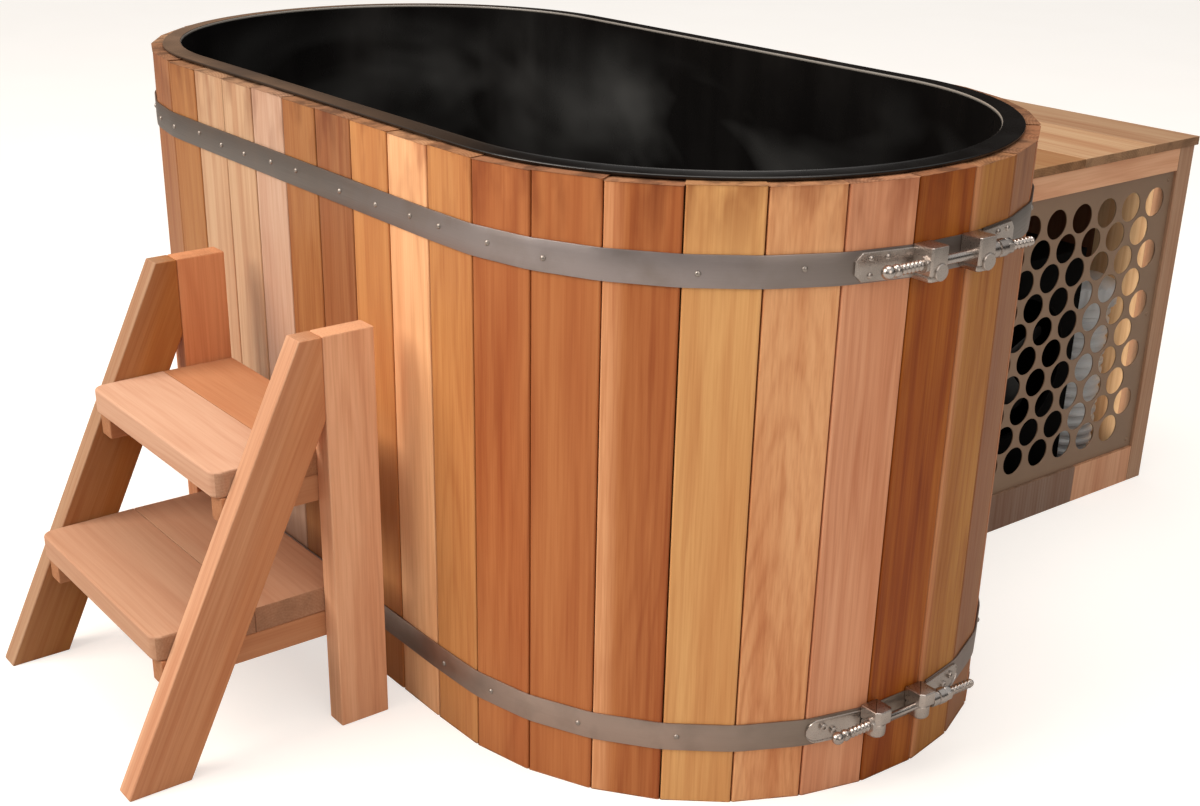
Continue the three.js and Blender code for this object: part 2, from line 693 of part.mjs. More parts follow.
// Grilles: staggered rows of round holes, counted from the outer post and the bottom rail
function makeGrilles() {
  const bottom = BOTTOM_RAIL + FIT;
  const top = frameTop - TOP_RAIL - FIT;
  const rows = Math.floor((top - bottom - HOLE_BOTTOM - HOLE_RADIUS) / HOLE_ROW) + 1;
  const holes = [];
  for (let row = 0; row < rows; row += 1) {
    const start = HOLE_MARGIN + (row % 2 === 0 ? HOLE_PITCH / 2 : 0);
    const count = Math.floor((bayOuter - bayNear - start - HOLE_RADIUS) / HOLE_PITCH) + 1;
    for (let i = 0; i < count; i += 1) {
      const y = bayOuter - start - i * HOLE_PITCH;
      holes.push(circle(HOLE_RADIUS, HOLE_SIDES, y, bottom + HOLE_BOTTOM + row * HOLE_ROW));
    }
  }
  const plate = [[bayNear, bottom], [bayOuter, bottom], [bayOuter, top], [bayNear, top]];
  const points = plate.map(([y, z]) => new THREE.Vector2(y, z));
  const front = CABINET_FRONT - GRILLE_SETBACK - GRILLE_THICKNESS;
  const rear = cabinetRear + GRILLE_SETBACK;
  [['front', front], ['rear', rear]].forEach(([name, x]) => {
    const grille = prismAlongX(points, x, x + GRILLE_THICKNESS, holes);
    add(part, `cabinet_${name}_grille`, grille, BRONZE_PAINT);
  });
}

// Lid of boards on two battens, hung on the tub side
function makeLid() {
  const rear = cabinetRear - LID_OVERHANG;
  const front = CABINET_FRONT + LID_OVERHANG;
  const depth = CABINET_DEPTH + LID_OVERHANG;
  const seams = [];
  const edgeSeam = depth - LID_OVERHANG - LID_EDGE_BOARD;
  for (let y = edgeSeam; y > LID_BOARD / 2; y -= LID_BOARD) seams.push(y);
  const deck = prismAlongX(boards(depth, LID_THICKNESS, seams), rear, front);
  deck.translate(0, cabinetNear, lidBottom);
  const battens = [bayFront - BATTEN_INSET, bayRear + BATTEN_INSET + BATTEN_WIDTH].map((x) => box(
    x - BATTEN_WIDTH,
    x,
    cabinetNear + BATTEN_END,
    cabinetOuter - BATTEN_END,
    lidBottom - BATTEN_THICKNESS,
    lidBottom + LID_THICKNESS / 2,
  ));
  add(part, 'cabinet_lid', join(deck, ...battens), CEDAR);
}

// Hinge along the tub side: the fixed leaf holds the pin, the moving leaf turns on it
const hingeY = cabinetNear - FIT - KNUCKLE_RADIUS;

function makeHinge() {
  const start = (CABINET_FRONT + cabinetRear - HINGE_LENGTH) / 2;
  const step = HINGE_LENGTH / KNUCKLE_COUNT;
  const leafFar = cabinetNear - FIT;
  const leafNear = leafFar - LEAF_THICKNESS;
  const clear = KNUCKLE_RADIUS + FIT;
  const leaf = (from, to) => box(start, start + HINGE_LENGTH, leafNear, leafFar, from, to);
  const span = (i) => [start + i * step + FIT, start + (i + 1) * step - FIT];
  const knuckle = (i) => barAlongX(KNUCKLE_RADIUS, ...span(i), hingeY, lidBottom, 12);
  const web = (i, from, to) => box(...span(i), leafNear, leafFar, from, to);
  const fixed = [];
  const moving = [];
  for (let i = 0; i < KNUCKLE_COUNT; i += 1) {
    if (i % 2 === 0) fixed.push(knuckle(i), web(i, lidBottom - clear - LEAF_THICKNESS, lidBottom));
    else moving.push(knuckle(i), web(i, lidBottom, lidBottom + clear + LEAF_THICKNESS));
  }
  const pin = (radius) => barAlongX(radius, start + FIT, start + HINGE_LENGTH - FIT, hingeY, lidBottom, 10);
  const fixedLeaf = leaf(lidBottom - clear - FIXED_LEAF, lidBottom - clear);
  add(part, 'lid_hinge_fixed_leaf', join(fixedLeaf, ...fixed, pin(PIN_RADIUS)), STEEL);
  const movingLeaf = leaf(lidBottom + clear, lidBottom + clear + MOVING_LEAF);
  add(part, 'lid_hinge_moving_leaf', cut(join(movingLeaf, ...moving), pin(PIN_RADIUS + FIT)), STEEL);
}

// Chiller: an open-fronted casing with the fan on a bearing bracket behind the opening
const chillerBottom = CABINET_FLOOR + FIT;
const fanY = (chillerNear + chillerOuter) / 2;
const fanZ = chillerBottom + FAN_HEIGHT;
const hubFront = chillerFront - CASING_WALL - HUB_SETBACK;
const hubRear = hubFront - HUB_LENGTH;
const bearingFront = hubRear - FIT;
const bearingRear = bearingFront - BEARING_LENGTH;

function makeChiller() {
  const top = chillerBottom + CHILLER_HEIGHT;
  const shell = box(chillerRear, chillerFront, chillerNear, chillerOuter, chillerBottom, top);
  const hollow = box(
    chillerRear + CASING_WALL,
    chillerFront - CASING_WALL,
    chillerNear + CASING_WALL,
    chillerOuter - CASING_WALL,
    chillerBottom + CASING_WALL,
    top - CASING_WALL,
  );
  const inside = chillerFront - CASING_WALL - OVERCUT;
  const mouth = barAlongX(FAN_RADIUS + FAN_CLEARANCE, inside, chillerFront + OVERCUT, fanY, fanZ, 24);
  const bracket = box(
    bearingRear,
    bearingRear + BRACKET_THICKNESS,
    fanY - BRACKET_WIDTH / 2,
    fanY + BRACKET_WIDTH / 2,
    chillerBottom + CASING_WALL / 2,
    top - CASING_WALL / 2,
  );
  const bearing = barAlongX(BEARING_RADIUS, bearingRear, bearingFront, fanY, fanZ, 12);
  const bore = barAlongX(SHAFT_RADIUS + FIT, bearingRear - OVERCUT, bearingFront + OVERCUT, fanY, fanZ, 12);
  const casing = join(cut(shell, hollow, mouth), bracket, bearing);
  add(part, 'chiller_casing', cut(casing, bore), BLACK_STEEL);
  const hub = barAlongX(HUB_RADIUS, hubRear, hubFront, fanY, fanZ, 12);
  const shaft = barAlongX(SHAFT_RADIUS, bearingRear, hubFront, fanY, fanZ, 12);
  const blades = Array.from({ length: FAN_BLADES }, (_, i) => {
    const reach = FAN_RADIUS - HUB_RADIUS / 2;
    const blade = new THREE.BoxGeometry(BLADE_THICKNESS, BLADE_CHORD, reach);
    blade.rotateZ(BLADE_PITCH).translate(0, 0, HUB_RADIUS / 2 + reach / 2);
    blade.rotateX((2 * Math.PI * i) / FAN_BLADES);
    return blade.translate((hubFront + hubRear) / 2, fanY, fanZ);
  });
  add(part, 'chiller_fan', join(hub, shaft, ...blades), BLACK_PLASTIC);
}

// Filter canister with an inlet stub towards the rear and an outlet stub towards the chiller
const filterBottom = CABINET_FLOOR + FIT;
const portHeight = filterBottom + FILTER_BODY + FILTER_HEAD / 2;

function makeFilter() {
  const profile = [
    [FILTER_RADIUS, 0],
    [FILTER_RADIUS, FILTER_BODY],
    [FILTER_HEAD_RADIUS, FILTER_BODY],
    [FILTER_HEAD_RADIUS, FILTER_BODY + FILTER_HEAD],
  ];
  const body = turned(profile, 20).rotateX(Math.PI / 2).translate(filterX, filterY, filterBottom);
  const stubEnd = filterX - FILTER_HEAD_RADIUS - STUB_LENGTH;
  const inlet = barAlongX(HOSE_RADIUS, stubEnd, filterX, filterY, portHeight, 12);
  add(part, 'filter_housing', join(body, inlet), FILTER_PLASTIC);
  const pipeEnd = filterY - FILTER_HEAD_RADIUS - FIT;
  const pipe = barAlongY(HOSE_RADIUS, chillerOuter + FIT, pipeEnd, filterX, portHeight, 12);
  add(part, 'filter_pipe', pipe, HOSE_RUBBER);
}

// Hoses from the wall fittings: one to the filter, one back from the chiller
function hose(curve, steps) {
  const section = new THREE.Shape(circle(HOSE_RADIUS, 10));
  return new THREE.ExtrudeGeometry(section, { extrudePath: curve, steps, bevelEnabled: false });
}

function makeHoses() {
  const start = fittingEnd + FIT;
  const end = filterX - FILTER_HEAD_RADIUS - STUB_LENGTH - FIT;
  const suction = new THREE.CurvePath();
  const turnY = chillerOuter - 2 * HOSE_RADIUS;
  const turnX = chillerRear;
  const leave = new THREE.Vector3(fittingX, start, SUCTION_HEIGHT);
  const bend = new THREE.Vector3(fittingX, turnY, SUCTION_HEIGHT);
  const bent = new THREE.Vector3(turnX, filterY, portHeight);
  const arrive = new THREE.Vector3(end, filterY, portHeight);
  const reach = filterY - turnY;
  suction.add(new THREE.LineCurve3(leave, bend));
  suction.add(new THREE.CubicBezierCurve3(
    bend,
    bend.clone().add(new THREE.Vector3(0, reach, 0)),
    bent.clone().sub(new THREE.Vector3(reach, 0, 0)),
    bent,
  ));
  suction.add(new THREE.LineCurve3(bent, arrive));
  add(part, 'suction_hose', hose(suction, 24), HOSE_RUBBER);
  const from = new THREE.Vector3(chillerRear - FIT, chillerNear + CHILLER_PORT_INSET, CHILLER_PORT_HEIGHT);
  const to = new THREE.Vector3(fittingX, start, RETURN_HEIGHT);
  const swing = (from.x - to.x) / 2;
  add(part, 'return_hose', hose(new THREE.CubicBezierCurve3(
    from,
    from.clone().sub(new THREE.Vector3(2 * swing, 0, 0)),
    to.clone().add(new THREE.Vector3(0, 2 * swing, 0)),
    to,
  ), 14), HOSE_RUBBER);
}

makeStaves();
makeFloor();
makeLiner();
makeHoop({
  name: 'lower',
  height: LOWER_HOOP_HEIGHT,
  boltRise: LOWER_BOLT_RISE,
  lugs: [LOWER_LEFT_LUG, LOWER_RIGHT_LUG],
  plates: [LOWER_PLATE_START, LOWER_PLATE_END],
  bolt: [LOWER_BOLT_START, LOWER_BOLT_END],
});
makeHoop({
  name: 'upper',
  height: STAVE_LENGTH - UPPER_HOOP_DROP,
  boltRise: UPPER_BOLT_RISE,
  lugs: [UPPER_LEFT_LUG, UPPER_RIGHT_LUG],
  plates: [UPPER_PLATE_START, UPPER_PLATE_END],
  bolt: [UPPER_BOLT_START, UPPER_BOLT_END],
});
makeFittings();
makeDrain();
makeSteps();
makeFrame();
makeSidePanels();
makeGrilles();
makeLid();
makeHinge();
makeChiller();
makeFilter();
makeHoses();

export default part;
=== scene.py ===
import math

import bpy
import numpy as np
from mathutils import Matrix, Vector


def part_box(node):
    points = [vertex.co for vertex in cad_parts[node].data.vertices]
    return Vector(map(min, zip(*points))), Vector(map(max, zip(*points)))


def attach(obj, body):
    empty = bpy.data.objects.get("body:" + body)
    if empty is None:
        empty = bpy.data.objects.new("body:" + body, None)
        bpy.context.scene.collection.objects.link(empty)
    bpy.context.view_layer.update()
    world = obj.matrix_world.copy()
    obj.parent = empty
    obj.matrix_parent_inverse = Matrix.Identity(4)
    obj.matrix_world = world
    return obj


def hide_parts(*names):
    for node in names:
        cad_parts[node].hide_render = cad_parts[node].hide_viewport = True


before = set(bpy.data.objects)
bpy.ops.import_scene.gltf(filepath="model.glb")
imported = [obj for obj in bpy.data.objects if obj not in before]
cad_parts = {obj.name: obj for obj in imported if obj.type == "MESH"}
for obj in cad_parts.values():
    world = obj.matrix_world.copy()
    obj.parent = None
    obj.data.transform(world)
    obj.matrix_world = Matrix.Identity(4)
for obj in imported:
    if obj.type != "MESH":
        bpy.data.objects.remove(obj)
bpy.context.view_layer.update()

# Camera: it looks down on the near end of the tub from a little over chest height. The picture is
# a crop of a wider one, so the view is shifted to the middle of the crop.
EYE = (1.8956, -1.3954, 1.1589)
YAW = -0.941
PITCH = 0.4226
ROLL = 0.0037
SENSOR_WIDTH = 36
FOCAL_LENGTH = 48.9
VIEW_SHIFT = (0.0554, 0.0776)
lens = bpy.data.cameras.new("camera")
lens.sensor_width = SENSOR_WIDTH
lens.lens = FOCAL_LENGTH
lens.shift_x, lens.shift_y = VIEW_SHIFT
camera = bpy.data.objects.new("camera", lens)
bpy.context.scene.collection.objects.link(camera)
ahead = np.array([math.sin(YAW) * math.cos(PITCH), math.cos(YAW) * math.cos(PITCH), -math.sin(PITCH)])
level = np.array([math.cos(YAW), -math.sin(YAW), 0.0])
upright = np.cross(level, ahead)
right = math.cos(ROLL) * level + math.sin(ROLL) * upright
up = math.cos(ROLL) * upright - math.sin(ROLL) * level
turn = np.column_stack([right, up, -ahead])
camera.matrix_world = Matrix.LocRotScale(EYE, Matrix(turn.tolist()), None)
bpy.context.scene.camera = camera
bpy.context.scene.view_settings.view_transform = "Standard"


# Studio: a pale matt floor under large soft lights from the near left, the right and above, and a narrow
# one in the cabinet's bay. The surround is warm beyond the tub's rear end, dim elsewhere and pale above.
def linear(colour):
    """sRGB hex to linear light: a straight part near black, then a power of 2.4."""
    srgb = np.array([int(colour[i:i + 2], 16) for i in (0, 2, 4)]) / 255
    light = np.where(srgb <= 0.04045, srgb / 12.92, ((srgb + 0.055) / 1.055) ** 2.4)
    return (*light.tolist(), 1.0)


def add(tree, kind, inputs=(), **settings):
    """Adds a node: each input, by name or number, takes a value or the node or socket that feeds it."""
    made = tree.nodes.new("ShaderNode" + kind)
    for name, value in settings.items():
        setattr(made, name, value)
    for key, value in dict(inputs).items():
        if isinstance(value, bpy.types.Node):
            value = next(socket for socket in value.outputs if socket.enabled)
        if isinstance(value, bpy.types.NodeSocket):
            tree.links.new(value, made.inputs[key])
        else:
            made.inputs[key].default_value = value
    return made


def new_material(name):
    material = bpy.data.materials.new(name)
    material.use_nodes = True
    material.node_tree.nodes.clear()
    return material, material.node_tree


FLOOR_REACH = 40
FLOOR_GLOW = 0.58
floor_mesh = bpy.data.meshes.new("studio_floor")
corners = [(x * FLOOR_REACH, y * FLOOR_REACH, 0) for x, y in ((-1, -1), (1, -1), (1, 1), (-1, 1))]
floor_mesh.from_pydata(corners, [], [(0, 1, 2, 3)])
floor = bpy.data.objects.new("studio_floor", floor_mesh)
bpy.context.scene.collection.objects.link(floor)
floor_paint, tree = new_material("matt_floor_paint")
place = add(tree, "TexCoord").outputs["Object"]
mottle = add(tree, "TexNoise", {"Vector": place, "Scale": 3.0, "Detail": 2.0})
tone = add(tree, "Mix", {0: mottle, 6: linear("C4C1BD"), 7: linear("CAC8C5")}, data_type="RGBA")
seen = add(tree, "LightPath").outputs["Is Camera Ray"]
glow = add(tree, "Math", {0: seen, 1: FLOOR_GLOW}, operation="MULTIPLY")
paint = add(tree, "BsdfPrincipled", {"Base Color": tone, "Roughness": 0.9, "Specular IOR Level": 0.1,
                                     "Emission Color": linear("FFFCF8"), "Emission Strength": glow})
add(tree, "OutputMaterial", {"Surface": paint})
floor_mesh.materials.append(floor_paint)

WARM_SIDE = (-0.996, -0.087, 0.0)
DARK_SIDE = (-0.70, 0.71, 0.0)
world = bpy.data.worlds.new("studio")
bpy.context.scene.world = world
world.use_nodes = True
tree = world.node_tree
tree.nodes.clear()
way = add(tree, "TexCoord").outputs["Generated"]
facing = add(tree, "VectorMath", {0: way, 1: WARM_SIDE}, operation="DOT_PRODUCT").outputs["Value"]
share = add(tree, "MapRange", {0: facing, 1: 0.74, 2: 0.85}, interpolation_type="SMOOTHSTEP")
low_sky = add(tree, "Mix", {0: share, 6: linear("302A26"), 7: linear("F2C19C")}, data_type="RGBA")
height = add(tree, "SeparateXYZ", {"Vector": way}).outputs["Z"]
beyond = add(tree, "VectorMath", {0: way, 1: DARK_SIDE}, operation="DOT_PRODUCT").outputs["Value"]
shut = add(tree, "MapRange", {0: beyond, 1: 0.3, 2: 0.7})
height = add(tree, "Math", {0: shut, 1: -0.30, 2: height}, operation="MULTIPLY_ADD")
lift = add(tree, "MapRange", {0: height, 1: 0.22, 2: 0.5}, interpolation_type="SMOOTHSTEP")
sky = add(tree, "Mix", {0: lift, 6: low_sky, 7: linear("EFEDEA")}, data_type="RGBA")
seen = add(tree, "LightPath").outputs["Is Camera Ray"]
sky = add(tree, "Mix", {0: seen, 6: sky, 7: linear("FAF9F7")}, data_type="RGBA")
strength = add(tree, "Math", {0: seen, 1: 0.25, 2: 0.75}, operation="MULTIPLY_ADD")
add(tree, "OutputWorld", {"Surface": add(tree, "Background", {"Color": sky, "Strength": strength})})

LIGHTS = {
    "key": ((-0.9, -3.8, 3.1), (3.0, 3.0), 205, "FFF4E8"),
    "right_fill": ((4.6, -1.0, 2.4), (2.6, 2.6), 45, "FFF1E4"),
    "top": ((0.2, 0.2, 4.4), (2.6, 2.6), 90, "FFF6EE"),
    "bay": ((0.334, 0.985, 0.300), (0.008, 0.50), 0.08, "FFEEDA"),
}
# Where the lights point, and the angle in degrees that each fans out over
TUB_MIDDLE = (0.1, 0.0, 0.4)
BAY_AIM = (0.318, 1.04, 0.300)
BAY_SPREAD = 105
HALF_SPACE = 180
for name, (stand, size, watts, colour) in LIGHTS.items():
    lamp = bpy.data.lights.new(name, "AREA")
    lamp.shape = "RECTANGLE"
    lamp.size, lamp.size_y = size
    lamp.energy = watts
    lamp.spread = math.radians(BAY_SPREAD if name == "bay" else HALF_SPACE)
    lamp.color = linear(colour)[:3]
    light = bpy.data.objects.new(name, lamp)
    bpy.context.scene.collection.objects.link(light)
    light.visible_camera = False
    back = np.subtract(stand, BAY_AIM if name == "bay" else TUB_MIDDLE)
    back /= np.linalg.norm(back)
    side = np.cross([0, 0, 1], back)
    side /= np.linalg.norm(side)
    turn = np.column_stack([side, np.cross(back, side), back])
    light.matrix_world = Matrix.LocRotScale(stand, Matrix(turn.tolist()), None)


# Staves: 45 upright cedar boards round an oval, planed smooth, their edges eased and mitred, standing
# edge to edge. Each came from another log, so no two neighbours match in colour.
END_RADIUS = 0.399
STRAIGHT_LENGTH = 0.714
STAVE_COUNT = 45
FIRST_JOINT = 0.047
STAVE_LENGTH = 0.762
STAVE_THICKNESS = 0.038
STAVE_GAP = 0.0011
STAVE_EASE = 0.0022
STAVE_END_EASE = 0.0012
FACE_POINTS = 24
STAVES_PER_PANEL = 9
TOP_UNEVEN = 0.0022
FACE_UNEVEN = 0.0005
rng = np.random.default_rng(11)

# Tones of cedar heartwood, from the palest to the darkest
CEDAR_TONES = {
    "honey": "F2C090", "apricot": "EAB07E", "straw": "E0AC70", "rose": "E4A680", "blush": "C8A892",
    "sand": "C8A888", "amber": "C48A54", "ochre": "B88040", "copper": "B67444", "tan": "A87648",
    "umber": "AC6424", "russet": "9E6C46",
}
# Seen from the steps: from the stave at the far left of the view to the last one in sight on the right
FIRST_SEEN = 34
SEEN_STAVES = (
    "russet", "russet", "tan", "sand", "sand", "blush", "tan", "russet", "amber", "honey", "amber", "copper",
    "copper", "copper", "straw", "apricot", "rose", "umber", "ochre", "russet", "copper",
)
# Staves with a pale sapwood edge: the share of the face that it takes, and the share it fades over
SAPWOOD = {2: 0.2, 7: 0.1, 16: 0.15, 29: 0.18}
SAP_BLEND = 0.2
SAP_TONE = "E0A678"
# Staves with a strong figure, and those sawn at a slant through the heart of the log, which shows as arches:
# the slope, and the depth of the pith behind the middle of the board
FIGURE = {0: 1.5, 1: 1.3, 2: 1.6, 4: 1.3, 5: 1.2, 6: 2.2, 7: 1.5, 40: 1.5, 41: 1.6, 44: 1.2}
SLANT = {4: 0.085, 13: 0.07, 22: 0.06, 30: 0.08}
HEART_DEPTH = 0.055


def oval(distance, offset=0.0):
    """Points along the oval, anticlockwise from the near right tangent point: half circles joined by
    straights, moved out by an offset."""
    round_length = math.pi * END_RADIUS
    half = STRAIGHT_LENGTH + round_length
    whole = np.asarray(distance) % (2 * half)
    side = np.where(whole < half, 1.0, -1.0)
    rest = whole % half
    angle = np.clip(rest / END_RADIUS, 0, math.pi) - math.pi / 2
    run = np.clip(rest - round_length, 0, STRAIGHT_LENGTH)
    reach = END_RADIUS + offset
    x = side * (STRAIGHT_LENGTH / 2 - run + reach * np.cos(angle))
    return np.stack([x, side * reach * np.sin(angle)], axis=-1)


oval_length = 2 * (STRAIGHT_LENGTH + math.pi * END_RADIUS)
stave_width = oval_length / STAVE_COUNT
joints = oval(FIRST_JOINT + np.arange(STAVE_COUNT) * stave_width)
chords = np.roll(joints, -1, axis=0) - joints
tangents = chords / np.linalg.norm(chords, axis=1, keepdims=True)
outwards = np.stack([tangents[:, 1], -tangents[:, 0]], axis=1)
before = np.roll(outwards, 1, axis=0)
miters = (before + outwards) / (1 + np.sum(before * outwards, axis=1, keepdims=True))


def grid_faces(rows, columns, closed=True):
    """Quads of a grid of points numbered row by row; closed joins the last column to the first."""
    row = np.arange(rows - 1)[:, None] * columns
    this = np.arange(columns if closed else columns - 1)
    after = (this + 1) % columns
    quads = [row + this, row + after, row + columns + after, row + columns + this]
    return np.stack(quads, axis=-1).reshape(-1, 4)


def ring_solid(rings):
    """Closed solid through a stack of rings, each anticlockwise seen from the last one, with flat ends."""
    count, sides = rings.shape[:2]
    ends = np.arange(sides)
    caps = [ends[None, ::-1], ends[None] + (count - 1) * sides]
    return rings.reshape(-1, 3), [grid_faces(count, sides), *caps]


def slab(outline, low, high, ease, axes=np.eye(3), origin=(0, 0, 0), steps=3):
    """Solid on a flat outline between two heights. Its edges are quarter rounds, of one radius or one for
    each point: a ring at angle a from the face lies ease * (1 - cos a) deep and ease * (1 - sin a) in."""
    ahead = np.roll(outline, -1, axis=0) - outline
    ahead = ahead / np.linalg.norm(ahead, axis=1, keepdims=True)
    normal = np.stack([ahead[:, 1], -ahead[:, 0]], axis=1)
    last = np.roll(normal, 1, axis=0)
    miter = (last + normal) / (1 + np.sum(last * normal, axis=1, keepdims=True))
    angle = np.linspace(0, math.pi / 2, steps + 1)[:, None]
    ease = np.broadcast_to(ease, (1, len(outline)))
    inset = ease * (1 - np.sin(angle))
    depth = ease * (1 - np.cos(angle))
    inset = np.concatenate([inset, inset[::-1]])
    height = np.concatenate([low + depth, high - depth[::-1]])
    plan = outline[None] - miter[None] * inset[..., None]
    rings = np.concatenate([plan, height[..., None]], axis=2) @ np.asarray(axes) + np.asarray(origin)
    return ring_solid(rings)


def place_mesh(name, mesh, materials, body, slot, *replaced):
    """One piece from a mesh: it rides a body and stands for the nodes that it replaces."""
    for material in materials:
        mesh.materials.append(material)
    made = bpy.data.objects.new(name, mesh)
    bpy.context.scene.collection.objects.link(made)
    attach(made, body)
    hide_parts(*replaced)
    return made


def make(name, solids, materials, body, slot, *replaced, smooth=None):
    """One piece from a list of solids. Given an angle, its faces blend smoothly up to that angle."""
    faces = []
    start = 0
    for points, parts in solids:
        for part in parts:
            faces.extend((part + start).tolist())
        start += len(points)
    mesh = bpy.data.meshes.new(name)
    mesh.from_pydata(np.concatenate([points for points, _ in solids]).tolist(), [], faces)
    if smooth:
        mesh.shade_smooth()
        mesh.set_sharp_from_angle(angle=math.radians(smooth))
    return place_mesh(name, mesh, materials, body, slot, *replaced)


def per_point(made, name, values, kind="FLOAT_VECTOR"):
    """Stores one value for each point of a piece, for its material to read."""
    layer = made.data.attributes.new(name, kind, "POINT")
    field = {"FLOAT": "value", "FLOAT_COLOR": "color", "FLOAT_VECTOR": "vector"}[kind]
    layer.data.foreach_set(field, np.ascontiguousarray(values, dtype=np.float32).ravel())


# Feature length along and across the board in metres, the part of the noise that shows, its tint and
# strength: broad bands of heartwood, streaks, and fibres drawn coarse enough to show
CEDAR_LAYERS = (
    (0.70, 0.060, 0.42, 0.70, "D9AE92", 0.42),
    (0.45, 0.018, 0.50, 0.74, "CFA184", 0.34),
    (0.30, 0.0060, 0.45, 0.78, "E2C9B6", 0.40),
    (0.12, 0.0022, 0.42, 0.80, "E4CFBF", 0.42),
)
RING_SPACING = 0.0075
END_RING_SPACING = 0.004
RING_WAVER = 0.020
KNOT_SPACING = 0.17
WAVE_SCALE = math.pi / 10


def tinted(tree, shade, layers):
    """A tone multiplied by each layer's tint in turn, as strongly as the layer's amount says."""
    for amount, tint in layers:
        shade = add(tree, "Mix", {0: amount, 6: shade, 7: linear(tint)},
                    data_type="RGBA", blend_type="MULTIPLY")
    return shade


def cedar(name, roughness, contrast=1.0, tone=None, wet_from=None):
    """Planed cedar. Growth rings lie round a pith that runs beside the board; noise stretched along the
    grain bands and streaks it. Boards carry their grain and tone, with the strength of the figure as its
    alpha; a tone given here is for a solid that lies along X. Above wet_from, splashes stain the wood."""
    material, tree = new_material(name)
    place = add(tree, "TexCoord").outputs["Object"]
    grain = place if tone else add(tree, "Attribute", attribute_name="grain").outputs["Vector"]
    board = add(tree, "Attribute", attribute_name="shade")
    shade = linear(tone) if tone else board.outputs["Color"]
    figure = 1.0 if tone else board.outputs["Alpha"]
    layers = []
    for length, width, low, high, tint, strength in CEDAR_LAYERS:
        stretch = add(tree, "Mapping", {"Vector": grain, "Scale": (1 / length, 1 / width, 1 / width)})
        noise = add(tree, "TexNoise", {"Vector": stretch, "Scale": 1.0, "Detail": 2.0})
        amount = add(tree, "MapRange", {0: noise, 1: low, 2: high, 4: strength * contrast})
        amount = add(tree, "Math", {0: amount, 1: figure}, operation="MULTIPLY", use_clamp=True)
        layers.append((amount, tint))
    slow = add(tree, "Mapping", {"Vector": grain, "Scale": (2.6, 11.0, 11.0)})
    waver = add(tree, "TexNoise", {"Vector": slow, "Scale": 1.0, "Detail": 2.0}).outputs["Color"]
    bent = add(tree, "VectorMath", {0: waver, 1: (0, RING_WAVER, RING_WAVER), 2: grain},
               operation="MULTIPLY_ADD")
    rings = add(tree, "TexWave", {"Vector": bent, "Scale": WAVE_SCALE / RING_SPACING},
                wave_type="RINGS", rings_direction="X", wave_profile="SIN")
    line = add(tree, "Math", {0: rings.outputs["Fac"], 1: 3.0}, operation="POWER")
    faint = add(tree, "MapRange", {0: waver, 1: 0.34, 2: 0.62, 4: 0.24 * contrast})
    faint = add(tree, "Math", {0: faint, 1: figure}, operation="MULTIPLY", use_clamp=True)
    mark = add(tree, "Math", {0: line, 1: faint}, operation="MULTIPLY")
    spread = (1 / KNOT_SPACING, 1 / KNOT_SPACING, 0)
    apart = add(tree, "Mapping", {"Vector": bent, "Scale": spread})
    spots = add(tree, "TexVoronoi", {"Vector": apart, "Scale": 1.0})
    core = add(tree, "MapRange", {0: spots.outputs["Distance"], 1: 0.030, 2: 0.010})
    rare = add(tree, "Math", {0: spots.outputs["Color"], 1: 0.72}, operation="GREATER_THAN")
    knot = add(tree, "Math", {0: core, 1: rare}, operation="MULTIPLY")
    layers += [(mark, "C4906C"), (knot, "8A5638")]
    if wet_from:
        height = add(tree, "SeparateXYZ", {"Vector": place}).outputs["Z"]
        damp = add(tree, "MapRange", {0: height, 1: wet_from, 2: STAVE_LENGTH})
        runs = add(tree, "Mapping", {"Vector": grain, "Scale": (9.0, 30.0, 30.0)})
        blot = add(tree, "TexNoise", {"Vector": runs, "Scale": 1.0, "Detail": 3.0})
        edge = add(tree, "MapRange", {0: blot, 1: 0.48, 2: 0.66, 4: 0.6})
        stain = add(tree, "Math", {0: damp, 1: edge}, operation="MULTIPLY")
        layers.append((stain, "A87B62"))
    shade = tinted(tree, shade, layers)
    relief = add(tree, "Math", {0: mark, 1: -0.6, 2: noise}, operation="MULTIPLY_ADD")
    bump = add(tree, "Bump", {"Height": relief, "Strength": 0.25, "Distance": 0.0004})
    gloss = add(tree, "MapRange", {0: noise, 3: roughness - 0.08, 4: roughness + 0.10})
    wood = add(tree, "BsdfPrincipled", {"Base Color": shade, "Roughness": gloss, "Normal": bump,
                                        "Specular IOR Level": 0.22})
    add(tree, "OutputMaterial", {"Surface": wood})
    return material


